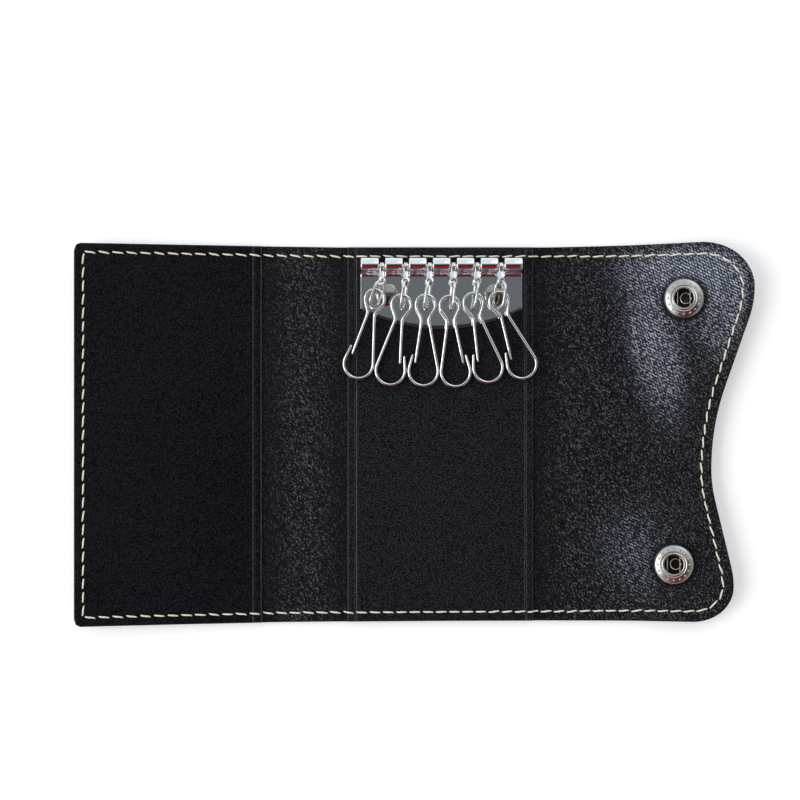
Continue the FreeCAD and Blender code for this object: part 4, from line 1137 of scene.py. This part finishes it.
right_axis = np.array([1.0, 0, 0])
up_axis = np.array([0, 0, 1.0])
for i, gate_side in enumerate(gate_sides, start=1):
    rod_at = np.array(joint[f"strap_swing_{i}"]["pos_m"])
    normal = -np.array(joint[f"ring_slide_{i}"]["axis"])
    along = unit(np.cross(up_axis, normal))
    upright = np.cross(along, normal)
    eye_at = np.array(joint[f"ring_slide_{i}"]["pos_m"]) - along * ring_half
    pivot = np.array(joint[f"hook_swing_{i}"]["pos_m"])
    hook_x = np.array(joint[f"hook_swing_{i}"]["axis"])

    reach = eye_at - rod_at
    ahead = unit(reach)
    over = np.cross(right_axis, ahead)
    loop = on_circle(np.linspace(strap_mouth, 2 * np.pi - strap_mouth, 30)) * strap_loop
    tip = np.linalg.norm(reach) - strap_eye_ring
    leg = np.array([[tip, strap_pinch], [tip * strap_waist_share, strap_pinch],
                    [tip * strap_neck_share, strap_swell]])
    flat = np.concatenate([leg, loop, leg[::-1] * (1, -1)])
    flat, _ = fine_steps(soft_profile(flat, strap_soft), strap_step)
    path = rod_at + flat[:, :1] * ahead + flat[:, 1:] * over
    outward = unit(np.cross(right_axis, np.gradient(path, axis=0)))
    band, band_faces = swept(path, right_axis, outward, stadium(strap_width, strap_sheet, 12), False)
    side = unit(np.cross(upright, ahead))
    front = np.cross(side, upright)
    spokes = on_circle(full_turn(32)) @ np.stack([side, front])
    wire = stadium(strap_eye_wire * 2, strap_eye_wire * 2, 12)
    eye, eye_faces = swept(eye_at + spokes * strap_eye_ring, spokes, upright, wire, True)
    strap_faces = band_faces + (np.array(eye_faces) + len(band)).tolist()
    strap = new_piece(f"swing_strap_{i}_band", np.concatenate([band, eye]), strap_faces, weld=1e-8)
    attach(strap, f"swing_strap_{i}")
    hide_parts(f"swing_strap_{i}")

    half_ring = on_circle(np.linspace(0, np.pi, 25)) * ring_half
    oval = np.concatenate([half_ring, -half_ring - (0, ring_straight)]) - (0, ring_half)
    path = eye_at + oval[:, :1] * upright - oval[:, 1:] * along
    outward = unit(np.cross(np.roll(path, -1, 0) - np.roll(path, 1, 0), normal))
    wire = stadium(ring_wire * 2, ring_wire * 2, 14)
    ring = new_piece(f"link_ring_{i}_wire", *swept(path, outward, normal, wire, True), weld=1e-8)
    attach(ring, f"link_ring_{i}")
    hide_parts(f"link_ring_{i}")

    low_end = fold_level + panel_thickness + hook_gap + hook_wire_width / 2
    droop = np.arcsin((pivot[2] - low_end) / hook_length)
    hook_y = np.array([-hook_x[1], hook_x[0], 0]) * np.cos(droop) + up_axis * np.sin(droop)
    hook_z = np.cross(hook_x, hook_y)
    flat, from_end = fine_steps(hook_line(gate_side), hook_step, hook_tip_steps)
    path = pivot + flat[:, :1] * hook_x + flat[:, 1:] * hook_y
    outward = unit(np.cross(np.gradient(path, axis=0), hook_z))
    taper = end_taper(from_end)[:, None]
    wire = stadium(hook_wire, hook_wire_width, 16)
    bent = swept(path, outward * taper, hook_z * taper, wire, False)
    hook = new_piece(f"key_hook_{i}_wire", *bent, weld=1e-8)
    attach(hook, f"key_hook_{i}")
    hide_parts(f"key_hook_{i}")
    for piece in (strap, ring, hook):
        piece.data.materials.append(bright_wire)

# Studio
# A white table under two soft lamps. The room round it is bright behind and to the left, half bright
# to the right and dark in front, with something red there. The camera is straight above.
floor_half = 3.0
floor_drop = 0.1 * mm
floor_glow = 0.3
corner = np.array([[-1, -1, 0], [1, -1, 0], [1, 1, 0], [-1, 1, 0]]) * floor_half
floor = new_piece("floor", corner - np.array([0, 0, floor_drop]), [[0, 1, 2, 3]])
paper, tree, shader = new_finish("paper", {"Base Color": (0.85, 0.85, 0.85, 1), "Roughness": 0.9,
                                           "Specular IOR Level": 0.0})
seen = add_node(tree, "LightPath")
either = combined(tree, "MAXIMUM", seen["Is Camera Ray"], seen["Is Glossy Ray"])
strength = combined(tree, "MULTIPLY", either, floor_glow)
glow = add_node(tree, "Emission", {"Color": (1, 1, 1, 1), "Strength": strength})["Emission"]
both = add_node(tree, "AddShader", {0: shader.outputs["BSDF"], 1: glow})["Shader"]
fill(tree, tree.nodes["Material Output"], {"Surface": both})
floor.data.materials.append(paper)

world = bpy.data.worlds.new("studio")
world.use_nodes = True
bpy.context.scene.world = world
tree = world.node_tree
room_tones = (
    (0.0, 0.12, 0.0),
    (0.07, 0.09, 0.0),
    (0.10, 0.012, 0.30),
    (0.29, 0.012, 0.30),
    (0.32, 0.03, 0.0),
    (0.465, 0.03, 0.0),
    (0.487, 0.165, 0.0),
    (0.57, 0.165, 0.0),
    (0.605, 0.95, 0.0),
    (1.0, 0.95, 0.0),
)
room_tint = np.array([0.9, 1.0, 1.04])
wall_greys = ((0.0, 0.9), (0.27, 0.9), (0.34, 0.0), (0.66, 0.0), (0.74, 0.5), (1.0, 0.5))


def toned(tree, value, tones):
    """A colour read off a scale of places and colours, by a value from -1 to 1."""
    ramp = tree.nodes.new("ShaderNodeValToRGB")
    for place, colour in tones[1:-1]:
        ramp.color_ramp.elements.new(place)
    for stop, (place, colour) in zip(ramp.color_ramp.elements, tones):
        stop.position = place
        stop.color = (*colour, 1)
    fill(tree, ramp, {"Fac": ranged(tree, value, -1.0, 1.0)})
    return ramp.outputs["Color"]


room_colours = [(place, grey * room_tint + (red, 0, 0)) for place, grey, red in room_tones]
wall_colours = [(place, (grey, grey, grey)) for place, grey in wall_greys]
axes = add_node(tree, "SeparateXYZ", {"Vector": add_node(tree, "TexCoord")["Generated"]})
sky = add_node(tree, "Mix", {"Factor": 1.0, "A": toned(tree, axes["Y"], room_colours),
                             "B": toned(tree, axes["X"], wall_colours)},
               data_type="RGBA", blend_type="LIGHTEN")["Result"]
seen = add_node(tree, "LightPath")["Is Camera Ray"]
backdrop = blended(tree, seen, sky, (1, 1, 1, 1))
fill(tree, tree.nodes["Background"], {"Color": backdrop, "Strength": 1.0})


def softbox(name, place, width, height, watts):
    """A flat lamp at a place, turned to face the case."""
    lamp = bpy.data.lights.new(name, "AREA")
    lamp.shape = "RECTANGLE"
    lamp.size, lamp.size_y = width, height
    lamp.energy = watts
    item = bpy.data.objects.new(name, lamp)
    bpy.context.scene.collection.objects.link(item)
    x, y, z = place
    item.location = place
    item.rotation_euler = (np.arccos(z / np.linalg.norm(place)), 0, np.arctan2(-x, y) + np.pi)


softbox("window", (-0.78, -0.12, 0.74), width=0.7, height=0.7, watts=6)
softbox("side", (0.5, 0.8, 0.6), width=0.6, height=0.9, watts=1.5)

view_width = 232 * mm
camera_height = 500 * mm
view_middle = np.array([-3.9, 9.86, 2.6]) * mm
lens = bpy.data.cameras.new("camera")
lens.sensor_fit = "HORIZONTAL"
lens.sensor_width = 36
lens.lens = lens.sensor_width * camera_height / view_width
lens.clip_start = 0.01
camera = bpy.data.objects.new("camera", lens)
camera.location = view_middle + np.array([0, 0, camera_height])
bpy.context.scene.collection.objects.link(camera)
bpy.context.scene.camera = camera
bpy.context.scene.view_settings.view_transform = "Standard"
